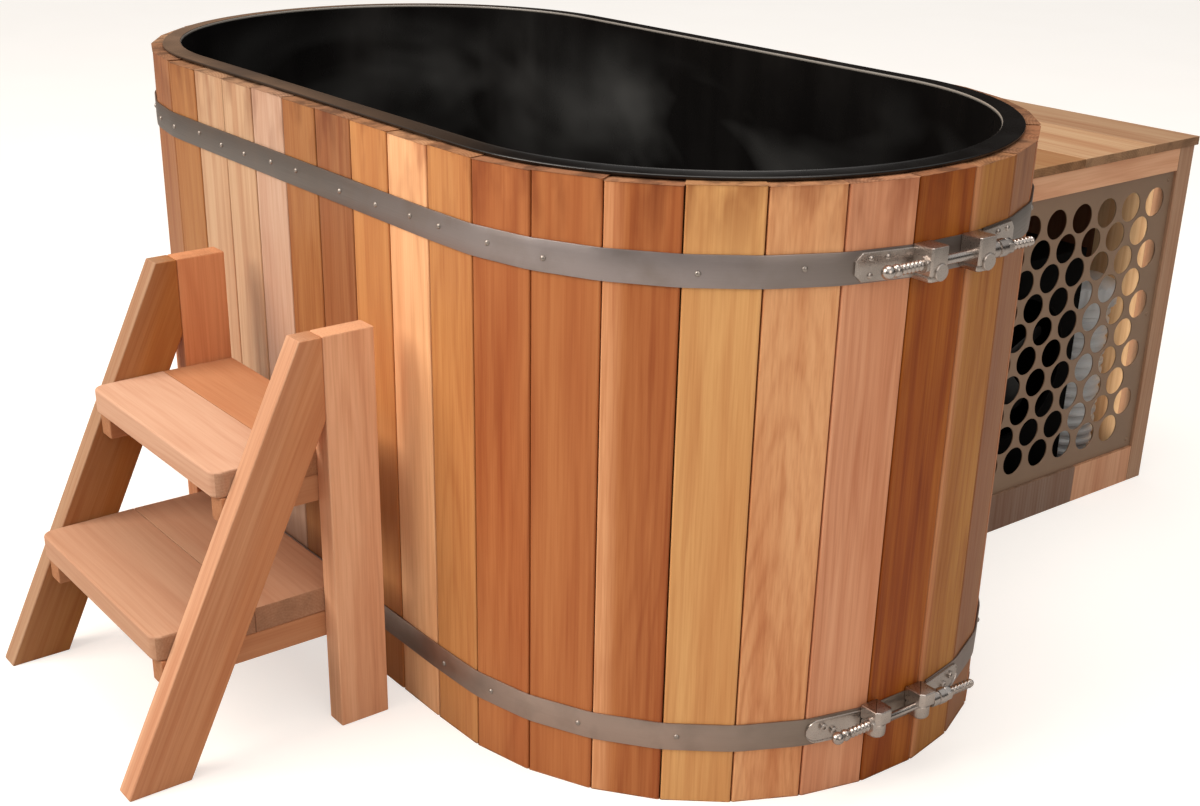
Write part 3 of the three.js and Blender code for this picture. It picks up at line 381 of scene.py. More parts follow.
def end_grain(name, soil):
    """Sawn cedar end grain: the rings cut across, darker where the open cells hold dirt and water."""
    material, tree = new_material(name)
    grain = add(tree, "Attribute", attribute_name="grain").outputs["Vector"]
    shade = add(tree, "Attribute", attribute_name="shade").outputs["Color"]
    rings = add(tree, "TexWave", {"Vector": grain, "Scale": WAVE_SCALE / END_RING_SPACING,
                                  "Distortion": 2.0, "Detail Scale": 0.3},
                wave_type="RINGS", rings_direction="X")
    wide = add(tree, "TexNoise", {"Vector": grain, "Scale": 28.0, "Detail": 4.0, "Roughness": 0.65})
    dirt = add(tree, "MapRange", {0: wide, 1: 0.46, 2: 0.60, 4: soil})
    fine = add(tree, "TexNoise", {"Vector": grain, "Scale": 420.0, "Detail": 2.0})
    line = add(tree, "Math", {0: rings.outputs["Fac"], 1: soil}, operation="MULTIPLY")
    shade = add(tree, "Mix", {0: soil, 6: shade, 7: linear("A98B72")}, data_type="RGBA")
    layers = ((soil, "D6C4B4"), (line, "D2BCAA"), (dirt, "544034"), (fine, "D8C8BA"))
    shade = tinted(tree, shade, layers)
    relief = add(tree, "Math", {0: line, 1: 0.4, 2: fine}, operation="MULTIPLY_ADD")
    bump = add(tree, "Bump", {"Height": relief, "Strength": 0.4, "Distance": 0.0006})
    wood = add(tree, "BsdfPrincipled", {"Base Color": shade, "Roughness": 0.85, "Normal": bump,
                                        "Specular IOR Level": 0.25})
    add(tree, "OutputMaterial", {"Surface": wood})
    return material


# Where a board may lie in its log from the pith, along, across and behind its face, how far its grain may
# lean, and how square to the grain a face is cut to be end grain
PITH_LOW = (0, -0.045, 0.03)
PITH_HIGH = (20, 0.045, 0.13)
GRAIN_LEAN = 0.03
END_SQUARE = 0.7


def wooden(name, boards, finish, body, slot, *replaced):
    """One wooden piece of boards, each a solid, the way its grain runs, the way its face is wide, and its
    tone (a hex colour, or a linear colour for each point). A board sawn right through the middle of the log
    has the depth of the pith too. Faces cut across the grain are end grain."""
    made = make(name, [board[0] for board in boards], finish, body, slot, *replaced)
    grain = []
    shade = []
    ends = []
    for (points, parts), along, across, tone, *heart in boards:
        axes = np.array([along, across, np.cross(along, across)], dtype=float)
        local = (points - points.mean(axis=0)) @ axes.T
        pith = rng.uniform(PITH_LOW, PITH_HIGH)
        lean = rng.uniform(-GRAIN_LEAN, GRAIN_LEAN)
        if heart:
            pith[1:] = 0.0, heart[0]
            lean = 0.0
        local[:, 2] += lean * local[:, 0]
        grain.append(local + pith)
        colour = np.array(linear(tone)) if isinstance(tone, str) else tone
        shade.append(np.broadcast_to(colour, (len(points), 4)))
        for part in parts:
            ring = points[part]
            normal = np.cross(ring, np.roll(ring, -1, axis=1)).sum(axis=1)
            square = normal @ axes[0] / np.linalg.norm(normal, axis=1)
            ends.append(np.abs(square) > END_SQUARE)
    per_point(made, "grain", np.concatenate(grain))
    per_point(made, "shade", np.concatenate(shade), "FLOAT_COLOR")
    made.data.polygons.foreach_set("material_index", np.concatenate(ends).astype(np.int32))
    return made


def stave(k):
    """One stave's plan, in metres along its face from the middle and out from it: a wide flat face with
    quarter-round edges, and sides that follow the miters to a narrower back."""
    half = np.linalg.norm(chords[k]) / 2 - STAVE_GAP
    angle = np.linspace(math.pi / 2, 0, 4)
    flat = np.linspace(-half + STAVE_EASE, half - STAVE_EASE, FACE_POINTS)[1:-1]
    fall = STAVE_EASE * (np.cos(angle) - 1)
    start = -half + STAVE_EASE * (1 - np.sin(angle))
    along = np.concatenate([start, flat, -start[::-1]])
    rise = np.concatenate([fall, np.zeros(len(flat)), fall[::-1]])
    lean = miters[[k, (k + 1) % STAVE_COUNT]] @ tangents[k] * STAVE_THICKNESS
    back = [[half - lean[1], -STAVE_THICKNESS], [-half - lean[0], -STAVE_THICKNESS]]
    return np.concatenate([np.stack([along, rise], axis=1), back])


stave_cedar = cedar("planed_cedar_staves", 0.46, 0.9, wet_from=0.66)
sawn_end = end_grain("sawn_cedar_end_grain", 0.55)
panel = []
for k in range(STAVE_COUNT):
    order = (k - FIRST_SEEN) % STAVE_COUNT
    tone = SEEN_STAVES[order if order < len(SEEN_STAVES) else rng.integers(len(SEEN_STAVES))]
    outline = stave(k)
    axes = np.array([[*tangents[k], 0], [*outwards[k], 0], [0, 0, 1]])
    middle = joints[k] + chords[k] / 2 - outwards[k] * rng.uniform(0, FACE_UNEVEN)
    top = STAVE_LENGTH - rng.uniform(0, TOP_UNEVEN)
    solid = slab(outline, 0, top, STAVE_END_EASE, axes, [*middle, 0])
    colour = np.array(linear(CEDAR_TONES[tone]))
    if k in SAPWOOD:
        reach = (solid[0] - [*middle, 0]) @ axes[0] / stave_width + 0.5
        pale = np.clip((SAPWOOD[k] - reach) / SAP_BLEND + 0.5, 0, 1)[:, None]
        colour = colour * (1 - pale) + np.array(linear(SAP_TONE)) * pale
    colour = np.broadcast_to(colour, (len(solid[0]), 4)) * (1, 1, 1, FIGURE.get(k, 1.0))
    along = axes[2] + axes[1] * SLANT.get(k, 0.0)
    heart = [HEART_DEPTH] if k in SLANT else []
    panel.append((solid, along / np.linalg.norm(along), axes[0], colour, *heart))
    if len(panel) == STAVES_PER_PANEL:
        name = f"staves_{k // STAVES_PER_PANEL + 1}"
        wooden(f"{name}_boards", panel, [stave_cedar, sawn_end], "tub", "stave_cedar", name)
        panel = []


# Tub floor and joists: cedar planks let into the staves, on three bearers that stand on the ground.
# They hide under the liner and show only from below.
BOARD_EDGE = 0.002


def rounded(corners, radius, steps=3):
    """Convex outline with arcs for corners: each arc's centre lies on the corner's bisector, radius /
    sin(half the corner) away, and the arc turns through what the corner lacks of a straight angle."""
    corners = np.asarray(corners, dtype=float)
    radius = np.broadcast_to(np.asarray(radius, dtype=float), len(corners))[:, None]
    back = np.roll(corners, 1, axis=0) - corners
    onward = np.roll(corners, -1, axis=0) - corners
    back = back / np.linalg.norm(back, axis=1, keepdims=True)
    onward = onward / np.linalg.norm(onward, axis=1, keepdims=True)
    half = np.arccos(np.clip(np.sum(back * onward, axis=1), -1, 1))[:, None] / 2
    bisector = back + onward
    bisector = bisector / np.linalg.norm(bisector, axis=1, keepdims=True)
    centre = corners + bisector * radius / np.sin(half)
    arm = corners + back * radius / np.tan(half) - centre
    turn = np.linspace(0, 1, steps + 1)[None] * (math.pi - 2 * half)
    x = arm[:, :1] * np.cos(turn) - arm[:, 1:] * np.sin(turn)
    y = arm[:, :1] * np.sin(turn) + arm[:, 1:] * np.cos(turn)
    return (centre[:, None] + np.stack([x, y], axis=-1)).reshape(-1, 2)


def rectangle(width, height, radius, steps=3):
    """Centred rectangle with round corners."""
    w = width / 2
    h = height / 2
    return rounded([(-w, -h), (w, -h), (w, h), (-w, h)], radius, steps)


def beam(low, high, axis, tone, edge=BOARD_EDGE):
    """A board that fills the box between two corners, its grain along one axis, its long edges rounded
    and its ends eased: a rounded rectangle carried along the axis."""
    low = np.array(low)
    high = np.array(high)
    order = [(axis + 1) % 3, (axis + 2) % 3, axis]
    size = (high - low)[order]
    outline = rectangle(size[0], size[1], edge)
    solid = slab(outline, -size[2] / 2, size[2] / 2, edge * 0.7, np.eye(3)[order], (low + high) / 2)
    wide = order[0] if size[0] >= size[1] else order[1]
    return solid, np.eye(3)[axis], np.eye(3)[wide], tone


def coat(node, material):
    """Gives a CAD solid that is shown as it is its material."""
    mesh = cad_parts[node].data
    mesh.materials.clear()
    mesh.materials.append(material)


rough_cedar = cedar("rough_sawn_cedar", 0.7)
for k in (1, 2, 3):
    node = f"floor_joist_{k}"
    wooden(f"joist_{k}_board", [beam(*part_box(node), 1, CEDAR_TONES["tan"])], [rough_cedar, sawn_end],
           "tub", "frame_timber", node)
coat("tub_floor", cedar("planed_cedar_floor", 0.6, tone=CEDAR_TONES["copper"]))


# Liner: one black polyethylene shell, welded from sheet, that hangs by its flange on the stave tops.
# The flange is planed and catches the light; the crest of its inner lip is painted pale grey, a painted
# highlight. The walls have a soft, smoky sheen, partly from patchy roughness and partly painted.
LINER_OUTER = -0.0412
LINER_INNER = -0.0462
FLANGE_EDGE = -0.0183
FLANGE_THICKNESS = 0.004
FLANGE_ROUND = 0.0016
LIP_RADIUS = 0.0022
LINER_FLOOR = 0.006
FLOOR_RING = -0.20
CORE = -0.390
BOTTOM_ROUND = 0.028
OUTER_ROUND = 0.02
LINER_COLUMNS = 320
liner_low, liner_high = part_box("liner")
flange_top = liner_high.z
flange_under = flange_top - FLANGE_THICKNESS
floor_level = liner_low.z + LINER_FLOOR


def arc(centre, radius, start, end, steps=5):
    """Points of an arc, from one angle in degrees to another."""
    angle = np.radians(np.linspace(start, end, steps + 1))
    return np.stack([centre[0] + radius * np.cos(angle), centre[1] + radius * np.sin(angle)], axis=1)


profile = np.concatenate([
    [(CORE, liner_low.z), (FLOOR_RING, liner_low.z)],
    arc((LINER_OUTER - OUTER_ROUND, liner_low.z + OUTER_ROUND), OUTER_ROUND, -90, 0),
    [(LINER_OUTER, flange_under), (FLANGE_EDGE - 0.001, flange_under)],
    arc((FLANGE_EDGE - FLANGE_ROUND, flange_top - FLANGE_ROUND), FLANGE_ROUND, 0, 90),
    [(LINER_INNER + 2.2 * LIP_RADIUS, flange_top)],
    arc((LINER_INNER + LIP_RADIUS, flange_top - LIP_RADIUS / 2), LIP_RADIUS, 60, 180, 8),
    [(LINER_INNER, z) for z in (flange_top - 0.003, *np.linspace(0.70, 0.20, 6))],
    arc((LINER_INNER - BOTTOM_ROUND, floor_level + BOTTOM_ROUND), BOTTOM_ROUND, 0, -90),
    [(FLOOR_RING, floor_level), (CORE, floor_level)],
])
walk = np.linspace(0, oval_length, LINER_COLUMNS, endpoint=False)
rings = [np.column_stack([oval(walk, offset), np.full(LINER_COLUMNS, z)]) for offset, z in profile]
liner_plastic, tree = new_material("black_polyethylene")
place = add(tree, "TexCoord").outputs["Object"]
smoke = add(tree, "TexNoise", {"Vector": place, "Scale": 5.0, "Detail": 4.0, "Roughness": 0.6})
streaks = add(tree, "Mapping", {"Vector": place, "Scale": (14, 14, 3)})
wipe = add(tree, "TexNoise", {"Vector": streaks, "Scale": 1.0, "Detail": 3.0})
haze = add(tree, "Math", {0: smoke, 1: wipe}, operation="MULTIPLY")
film = add(tree, "MapRange", {0: haze, 1: 0.12, 2: 0.42, 3: 0.20, 4: 0.36})
# Pale grey cloudy patches on the walls below the flange: a painted sheen
clouds = add(tree, "Mapping", {"Vector": place, "Scale": (2.2, 2.2, 3.2)})
patch = add(tree, "TexNoise", {"Vector": clouds, "Scale": 1.0, "Detail": 3.0, "Distortion": 0.6})
height = add(tree, "SeparateXYZ", {"Vector": place}).outputs["Z"]
inside = add(tree, "MapRange", {0: height, 1: flange_under, 2: flange_under - 0.10})
painted_sheen = add(tree, "MapRange", {0: patch, 1: 0.46, 2: 0.78, 4: inside})
tint = add(tree, "Mix", {0: painted_sheen, 6: linear("0B0A0A"), 7: linear("4A4B4B")}, data_type="RGBA")
# The inner crest of the lip is painted pale grey: a painted highlight
painted_lip_highlight = add(tree, "Attribute", attribute_name="painted_lip_highlight").outputs["Fac"]
tint = add(tree, "Mix", {0: painted_lip_highlight, 6: tint, 7: linear("8A8680")}, data_type="RGBA")
bump = add(tree, "Bump", {"Height": wipe, "Strength": 0.04, "Distance": 0.001})
plastic = add(tree, "BsdfPrincipled", {"Base Color": tint, "Roughness": film, "Normal": bump, "IOR": 1.51})
add(tree, "OutputMaterial", {"Surface": plastic})
liner = make("liner_shell", [ring_solid(np.stack(rings))], [liner_plastic], "tub", "liner_plastic",
             "liner", smooth=40)
# Points of the lip's inner crest, which carry the painted highlight
inside_lip = profile[:, 0] < LINER_INNER + LIP_RADIUS / 2
crest = inside_lip & (profile[:, 1] > flange_top - FLANGE_THICKNESS / 2)
per_point(liner, "painted_lip_highlight", np.repeat(crest, LINER_COLUMNS), "FLOAT")


# Hoops: two flat stainless bands, brushed along their length and bent to the staves, each nailed with
# a small round-headed screw to most of the staves.
BAND_WIDTH = 0.037
BAND_OUT = 0.0024
BAND_IN = 0.0001
BEND_REACH = 0.16
LUG_STAVE = 6
HOOPS = {"lower": 0.0915, "upper": 0.6695}
BAND_EDGE = 0.0007
BAND_STEPS = 10
SCREW_HEAD = 0.0035
SCREW_STRAY = 0.004
# Where the screws in sight sit, to a tenth of a stave, and the staves out of sight, with a screw each
SCREWS = {
    "lower": (44.2, 0.3, 1.8, 3.2),
    "upper": (36.1, 37.1, 37.9, 38.7, 39.6, 40.4, 41.7, 42.7, 43.6, 44.3, 0.3, 1.2, 3.2, 4.5),
}
HIDDEN_STAVES = np.arange(9, 36)
LUGS = {"lower": (-0.045, 0.031), "upper": (-0.035, 0.040)}
BLOCK_LENGTH = 0.026
SLIT = 0.004
# Tones along each band, darker towards both ends, towards the far end as painted shade: places counted in
# staves, and the tone at each
BAND_PLACES = (41.0, 46.0, 48.0, 50.0)
BAND_TONES = {
    "lower": ("9A8E88", "AE9C92", "AE9C92", "90847A"),
    "upper": ("7C7672", "A29A9A", "A29A9A", "8A827E"),
}


def wall(place, offset):
    """Points on the stave faces, counted in staves and moved out. The average over a short reach eases
    the corners, as a bent strip does."""
    at = np.asarray(place, dtype=float)[..., None] + np.linspace(-BEND_REACH, BEND_REACH, 9)
    k = np.floor(at).astype(int) % STAVE_COUNT
    part = (at - np.floor(at))[..., None]
    foot = joints[k] * (1 - part) + joints[(k + 1) % STAVE_COUNT] * part
    return (foot + np.asarray(offset)[..., None, None] * outwards[k]).mean(axis=-2)


def turned(profile, origin, axis, sides=24, closed=False, apothem=None):
    """Turned solid from pairs of place and radius along an axis; closed joins the profile's ends round a
    bore. With an apothem the outside is cut by six flats: radius = apothem / cos(angle from a flat)."""
    profile = np.asarray(profile, dtype=float)
    axis = np.asarray(axis, dtype=float)
    first = np.cross(axis, (0, 0, 1) if abs(axis[2]) < 0.9 else (1, 0, 0))
    first /= np.linalg.norm(first)
    second = np.cross(axis, first)
    angle = np.arange(sides) * 2 * math.pi / sides
    radius = np.broadcast_to(profile[:, 1:], (len(profile), sides))
    if apothem:
        bend = (angle + math.pi / 6) % (math.pi / 3) - math.pi / 6
        radius = np.minimum(radius, apothem / np.cos(bend))
    spokes = np.cos(angle)[:, None] * first + np.sin(angle)[:, None] * second
    rings = np.asarray(origin) + profile[:, :1, None] * axis + radius[..., None] * spokes
    if closed:
        count = len(profile) * sides
        return rings.reshape(-1, 3), [grid_faces(len(profile) + 1, sides) % count]
    return ring_solid(rings)


def dome(radius, rise, sink, steps=4, start=0.0):
    """Profile of a round head: from a little below the face that it sits on, over part of an ellipse."""
    angle = np.linspace(start, 1.4, steps)
    return [(-sink, radius), *zip(rise * np.sin(angle), radius * np.cos(angle))]


def steel(name, colour, roughness, brushed=None, grit=0.0008):
    """Stainless steel: brushed along its length, which draws fine streaks, or cast and tumbled, which
    leaves a fine even grit, drawn coarse enough to show. Without a colour the piece has its own."""
    material, tree = new_material(name)
    place = add(tree, "TexCoord").outputs["Object"]
    surface = place
    scale = 1 / grit
    if brushed:
        run = add(tree, "Attribute", attribute_name="grain").outputs["Vector"]
        surface = add(tree, "Mapping", {"Vector": run, "Scale": (1 / brushed, scale, scale)})
        scale = 1.0
    fine = add(tree, "TexNoise", {"Vector": surface, "Scale": scale, "Detail": 3.0, "Roughness": 0.6})
    soil = add(tree, "TexNoise", {"Vector": place, "Scale": 24.0, "Detail": 4.0})
    gloss = add(tree, "MapRange", {0: fine, 1: 0.3, 2: 0.7, 3: roughness - 0.07, 4: roughness + 0.1})
    dull = add(tree, "MapRange", {0: soil, 1: 0.45, 2: 0.75, 4: 0.5})
    clean = linear(colour) if colour else add(tree, "Attribute", attribute_name="shade").outputs["Color"]
    tone = add(tree, "Mix", {0: dull, 6: clean, 7: linear("857A72")}, data_type="RGBA")
    bump = add(tree, "Bump", {"Height": fine, "Strength": 0.12, "Distance": 0.0003})
    metal = add(tree, "BsdfPrincipled", {"Base Color": tone, "Metallic": 1.0, "Roughness": gloss,
                                         "Normal": bump})
    add(tree, "OutputMaterial", {"Surface": metal})
    return material


band_steel = steel("brushed_stainless_band", None, 0.42, brushed=0.12)
head_steel = steel("zinc_plated_steel", "A29B95", 0.36)
screw_steel = steel("turned_stainless", "B9B2AD", 0.25)
section = rectangle(BAND_WIDTH, BAND_OUT - BAND_IN, BAND_EDGE, 2)
for name, height in HOOPS.items():
    slit = LUG_STAVE + 0.5 + (LUGS[name][1] + BLOCK_LENGTH) / stave_width
    gap = SLIT / 2 / stave_width
    places = np.linspace(slit + gap, slit + STAVE_COUNT - gap, STAVE_COUNT * BAND_STEPS + 1)
    out = section[:, 1] + (BAND_OUT + BAND_IN) / 2
    plan = wall(*np.broadcast_arrays(places[:, None], out[None]))
    rise = np.broadcast_to(height + section[:, 0], plan.shape[:2])
    band = make(f"{name}_hoop_band", [ring_solid(np.dstack([plan, rise]))], [band_steel],
                "tub", "hoop_steel", f"{name}_hoop", smooth=40)
    run = np.stack(np.broadcast_arrays(places[:, None] * stave_width, section[None, :, 0], 0.0), axis=-1)
    per_point(band, "grain", run.reshape(-1, 3))
    # The band's tone drifts along it; its darker far end is painted shade
    knots = np.array([linear(tone) for tone in BAND_TONES[name]])
    tone = np.stack([np.interp(places, BAND_PLACES, channel) for channel in knots.T], axis=1)
    per_point(band, "shade", np.broadcast_to(tone[:, None], (*plan.shape[:2], 4)), "FLOAT_COLOR")
    heads = []
    hidden = HIDDEN_STAVES + rng.uniform(0.25, 0.75, len(HIDDEN_STAVES))
    for spot in (*SCREWS[name], *hidden):
        rise = height + rng.uniform(-SCREW_STRAY, SCREW_STRAY)
        facet = np.array([*outwards[int(spot)], 0])
        foot = facet * BAND_OUT + [*wall(spot, 0.0), rise]
        heads.append(turned(dome(SCREW_HEAD, rise=0.0022, sink=0.0005, start=0.15), foot, facet, sides=10))
    make(f"{name}_hoop_screws", heads, [head_steel], "tub", "hoop_steel", smooth=50)


# Draw gear: on each hoop two cast lugs, riveted to the band, and a threaded bolt through them that pulls
# the hoop tight by a round collar and a nut. The upper lugs have long cut-cornered plates and bosses on
# their blocks, the lower ones spoon-ended plates and capped blocks.
BOLT_OUT = 0.020
BOLT_RISE = {"lower": 0.006, "upper": 0.001}
BOLT_SPAN = {"lower": (-0.120, 0.122), "upper": (-0.110, 0.127)}
PLATE_ENDS = {"lower": (-0.131, 0.136), "upper": (-0.120, 0.138)}
PLATE_HEIGHT = 0.033
PLATE_CORNER = 0.009
PLATE_OUT = BAND_OUT + 0.003
LUG_DEPTH = 0.031
LUG_HALF = 0.0195
THREAD_PITCH = 0.0060
BOLT_RADIUS = 0.0058
SHANK_RADIUS = {"lower": 0.0046, "upper": BOLT_RADIUS}
BALL_RADIUS = 0.0080
COLLAR_LENGTH = 0.024
NUT_LENGTH = 0.009
BORE = 0.0062
FIT = 0.0003
cast_steel = steel("tumbled_cast_stainless", "BCB4AE", 0.30, grit=0.0014)


def stave_frame(k):
    """Axes out of a stave's face, along it and up, and the middle of the face's foot."""
    return np.array([[*outwards[k], 0], [*tangents[k], 0], [0, 0, 1]]), joints[k] + chords[k] / 2


gear_axes, gear_foot = stave_frame(LUG_STAVE)


def gear_point(out, along, height):
    return np.array([out, along, 0]) @ gear_axes + [*gear_foot, height]


def block(hoop, place, low, high, depth, length, cut, ease):
    """Part of a lug's block between two heights: a plan with its outer corners cut off, or made round."""
    half = length / 2
    if cut:
        corners = [(depth - cut, -half), (depth, cut - half), (depth, half - cut), (depth - cut, half)]
        radius = 0.0010
    else:
        corners = [(depth, -half), (depth, half)]
        radius = (0.001, half * 0.95, half * 0.95, 0.001)
    outline = rounded([(BAND_OUT, -half), *corners, (BAND_OUT, half)], radius, 5)
    origin = gear_point(0, 0, HOOPS[hoop] + BOLT_RISE[hoop])
    return slab(outline + (0, place), low, high, ease, gear_axes, origin, 4)


def band_plate(hoop, place, end):
    """Plate bent to the wall: a flat section carried along the band, its height drawn in towards the free
    end, at 45 degrees on a cut-cornered plate and as a half circle on a spoon-ended one."""
    side = 1 if end > place else -1
    run = np.linspace(0, 1, 49) ** 0.6 * abs(end - place)
    free = run[-1] - run
    if hoop == "upper":
        half = np.minimum(PLATE_HEIGHT / 2, PLATE_HEIGHT / 2 - PLATE_CORNER + free)
        rim = 0.0
    else:
        inside = np.clip(free, 0.0006, PLATE_HEIGHT / 2)
        half = np.sqrt(PLATE_HEIGHT * inside - inside ** 2)
        rim = 0.0011
    section = np.array([
        (-1, BAND_OUT - FIT), (1, BAND_OUT - FIT), (1, PLATE_OUT - 0.0007), (0.96, PLATE_OUT),
        (0.84, PLATE_OUT), (0.76, PLATE_OUT - rim), (-0.76, PLATE_OUT - rim), (-0.84, PLATE_OUT),
        (-0.96, PLATE_OUT), (-1, PLATE_OUT - 0.0007),
    ])
    order = slice(None, None, side)
    places = (LUG_STAVE + 0.5 + (place + side * run) / stave_width)[order]
    plan = wall(*np.broadcast_arrays(places[:, None], section[None, :, 1]))
    rise = HOOPS[hoop] + half[order][:, None] * section[None, :, 0]
    return ring_solid(np.dstack([plan, rise]))


def rivet(hoop, along, rise, radius, socket):
    """Round head on a plate: a low dome, or a flat head with a sunk socket."""
    place = LUG_STAVE + 0.5 + along / stave_width
    facing = outwards[int(place) % STAVE_COUNT]
    if socket:
        profile = [(-0.002, radius), (0.0018, radius), (0.0026, radius * 0.85), (0.0026, radius * 0.5),
                   (0.0008, radius * 0.42)]
    else:
        profile = dome(radius, rise=0.0027, sink=0.002, steps=5)
    return turned(profile, [*wall(place, PLATE_OUT), HOOPS[hoop] + rise], [*facing, 0], 14)


def draw_bolt(hoop):
    """Bolt turned along its axis: a ball end, a ring, thread ridges (radius = mean + depth * cosine of the
    place over the pitch), plain shank through the lugs, thread again and a rounded end."""
    start, stop = BOLT_SPAN[hoop]
    near = LUGS[hoop][0] - BLOCK_LENGTH / 2 - start
    far = LUGS[hoop][1] + BLOCK_LENGTH / 2 + COLLAR_LENGTH + NUT_LENGTH + 3 * FIT - start
    whole = stop - start
    neck = 1.94 * BALL_RADIUS
    ridge = np.arange(neck + 0.0091, near - 0.008, THREAD_PITCH / 8)
    tail = np.arange(far + 0.002, whole - 0.006, THREAD_PITCH / 8)
    wave = 2 * math.pi / THREAD_PITCH
    shank = SHANK_RADIUS[hoop]
    ball = np.linspace(0.2, 2.5, 9)
    tip = np.linspace(0, 1.4, 6)
    return np.concatenate([
        BALL_RADIUS * np.stack([1 - np.cos(ball), np.sin(ball)], axis=1),
        [(neck, 0.0042), (neck + 0.0008, 0.0060), (neck + 0.0026, 0.0072), (neck + 0.0056, 0.0072),
         (neck + 0.0074, 0.0058), (neck + 0.0082, 0.0042)],
        np.stack([ridge, 0.0050 + 0.0015 * np.cos(wave * ridge)], axis=1),
        [(near - 0.006, BOLT_RADIUS), (near + 0.002, BOLT_RADIUS), (near + 0.004, shank)],
        [(far - 0.035, shank), (far - 0.0345, BOLT_RADIUS), (far, BOLT_RADIUS)],
        np.stack([tail, 0.0048 + 0.0013 * np.cos(wave * tail)], axis=1),
        np.stack([whole - 0.0052 + 0.0052 * np.sin(tip), 0.0054 * np.cos(tip)], axis=1),
    ])


for hoop, height in HOOPS.items():
    level = height + BOLT_RISE[hoop]
    for side, name, place, outer in zip((-1, 1), ("left", "right"), LUGS[hoop], PLATE_ENDS[hoop]):
        mouth = gear_point(BOLT_OUT, place + side * BLOCK_LENGTH / 2, level)
        gland = [(-0.003, 0.0096), (0.0030, 0.0096), (0.0040, 0.0088), (0.0040, 0.0064)]
        solids = [band_plate(hoop, place, outer)]
        if side < 0:
            solids.append(turned(gland, mouth, side * gear_axes[1], 48, apothem=0.0086))
        if hoop == "upper":
            boss = [(0.020, 0.0098), (LUG_DEPTH + 0.0012, 0.0098), (LUG_DEPTH + 0.0020, 0.0090),
                    (LUG_DEPTH + 0.0020, 0.002)]
            solids += [
                block(hoop, place, -0.012, LUG_HALF, LUG_DEPTH, BLOCK_LENGTH, cut=0.002, ease=0.0012),
                block(hoop, place, -LUG_HALF, -0.011, LUG_DEPTH - 0.0008, BLOCK_LENGTH - 0.0006,
                      cut=0.003, ease=0.003),
                turned(boss, gear_point(0, place + 0.0025, level - 0.0085), gear_axes[0]),
            ]
            spots = [(inward, rise, False) for inward in (0.019, 0.040) for rise in (0.0095, -0.0095)]
            head = 0.0036
        else:
            solids += [
                block(hoop, place, 0.001, LUG_HALF, LUG_DEPTH + 0.001, BLOCK_LENGTH + 0.001,
                      cut=0.005, ease=0.0018),
                block(hoop, place, -LUG_HALF, 0.0004, LUG_DEPTH - 0.002, BLOCK_LENGTH - 0.003,
                      cut=0, ease=0.0045),
            ]
            spots = [(0.022, 0.005, True), (0.037, -0.003, True)]
            head = 0.0050
        solids += [rivet(hoop, outer - side * inward, rise, head, socket) for inward, rise, socket in spots]
        make(f"{hoop}_{name}_lug_casting", solids, [cast_steel], "tub", "lug_steel", f"{hoop}_{name}_lug",
             smooth=20)
    bolt_foot = gear_point(BOLT_OUT, BOLT_SPAN[hoop][0], level)
    make(f"{hoop}_draw_bolt_thread", [turned(draw_bolt(hoop), bolt_foot, gear_axes[1])], [screw_steel],
         "tub", "bolt_steel", f"{hoop}_draw_bolt", smooth=60)
    collar_at = LUGS[hoop][1] + BLOCK_LENGTH / 2 + FIT
    ring = [(0, 0.0090), (0.0008, 0.0098), (0.0090, 0.0098), (0.0098, 0.0088), (0.0112, 0.0088),
            (0.0120, 0.0104), (COLLAR_LENGTH - 0.0012, 0.0104), (COLLAR_LENGTH, 0.0092),
            (COLLAR_LENGTH, BORE), (0, BORE)]
    collar = turned(ring, gear_point(BOLT_OUT, collar_at, level), gear_axes[1], 32, True)
    make(f"{hoop}_collar_ring", [collar], [screw_steel], f"{hoop}_draw_collar", "bolt_steel",
         f"{hoop}_collar", smooth=40)
    nut_at = collar_at + COLLAR_LENGTH + FIT
    ring = [(0, 0.0086), (0.0012, 0.0098), (NUT_LENGTH - 0.0014, 0.0098), (NUT_LENGTH, 0.0084),
            (NUT_LENGTH, BORE), (0, BORE)]
    nut = turned(ring, gear_point(BOLT_OUT, nut_at, level), gear_axes[1], 48, True, apothem=0.0085)
    make(f"{hoop}_hexagon_nut", [nut], [screw_steel], f"{hoop}_draw_nut", "bolt_steel", f"{hoop}_nut",
         smooth=25)


# Steps: two leaning legs butted on two upright posts, two treads of two boards each, and a cleat under each
# tread end. Fresh cedar, planed but not oiled, so it is paler and pinker than the tub.
LEG_FOOT = 0.084
LEG_TOP = 0.031
TREAD_CORNER = 0.016
STEP_EDGE = 0.0020
TREAD_EDGE = 0.0035
JOINT_EDGE = 0.0005
step_cedar = cedar("fresh_planed_cedar", 0.62, 0.55)
step_finish = [step_cedar, end_grain("fresh_cedar_end_grain", 0.15)]
# The tones that the steps were sorted from, and the paler ones painted on the legs' front faces: a painted
# highlight
FRESH_TONES = {
    "peach": "EAB690", "ginger": "DC9C70", "salmon": "CC9268", "clay": "BE8862", "biscuit": "BA9074",
    "cream": "C8A086", "toffee": "AC7440",
}
PAINTED_LIT_FRONTS = {"step_left_leg": "AC8C70", "step_right_leg": "D0A484"}
STEP_PIECES = {
    "step_left_leg": "toffee",
    "step_right_leg": "salmon",
    "step_left_post": "ginger",
    "step_right_post": "peach",
    "lower_left_cleat": "clay",
    "lower_right_cleat": "clay",
    "upper_left_cleat": "clay",
    "upper_right_cleat": "clay",
    "lower_tread_front": "biscuit",
    "lower_tread_rear": "biscuit",
    "upper_tread_front": "cream",
    "upper_tread_rear": "clay",
}
# The uprights are sawn along the grain and show it more than the treads
UPRIGHT_FIGURE = 1.8


def extent(node):
    """The low and the high corner of a node's box, as arrays."""
    return [np.array(corner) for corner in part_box(node)]


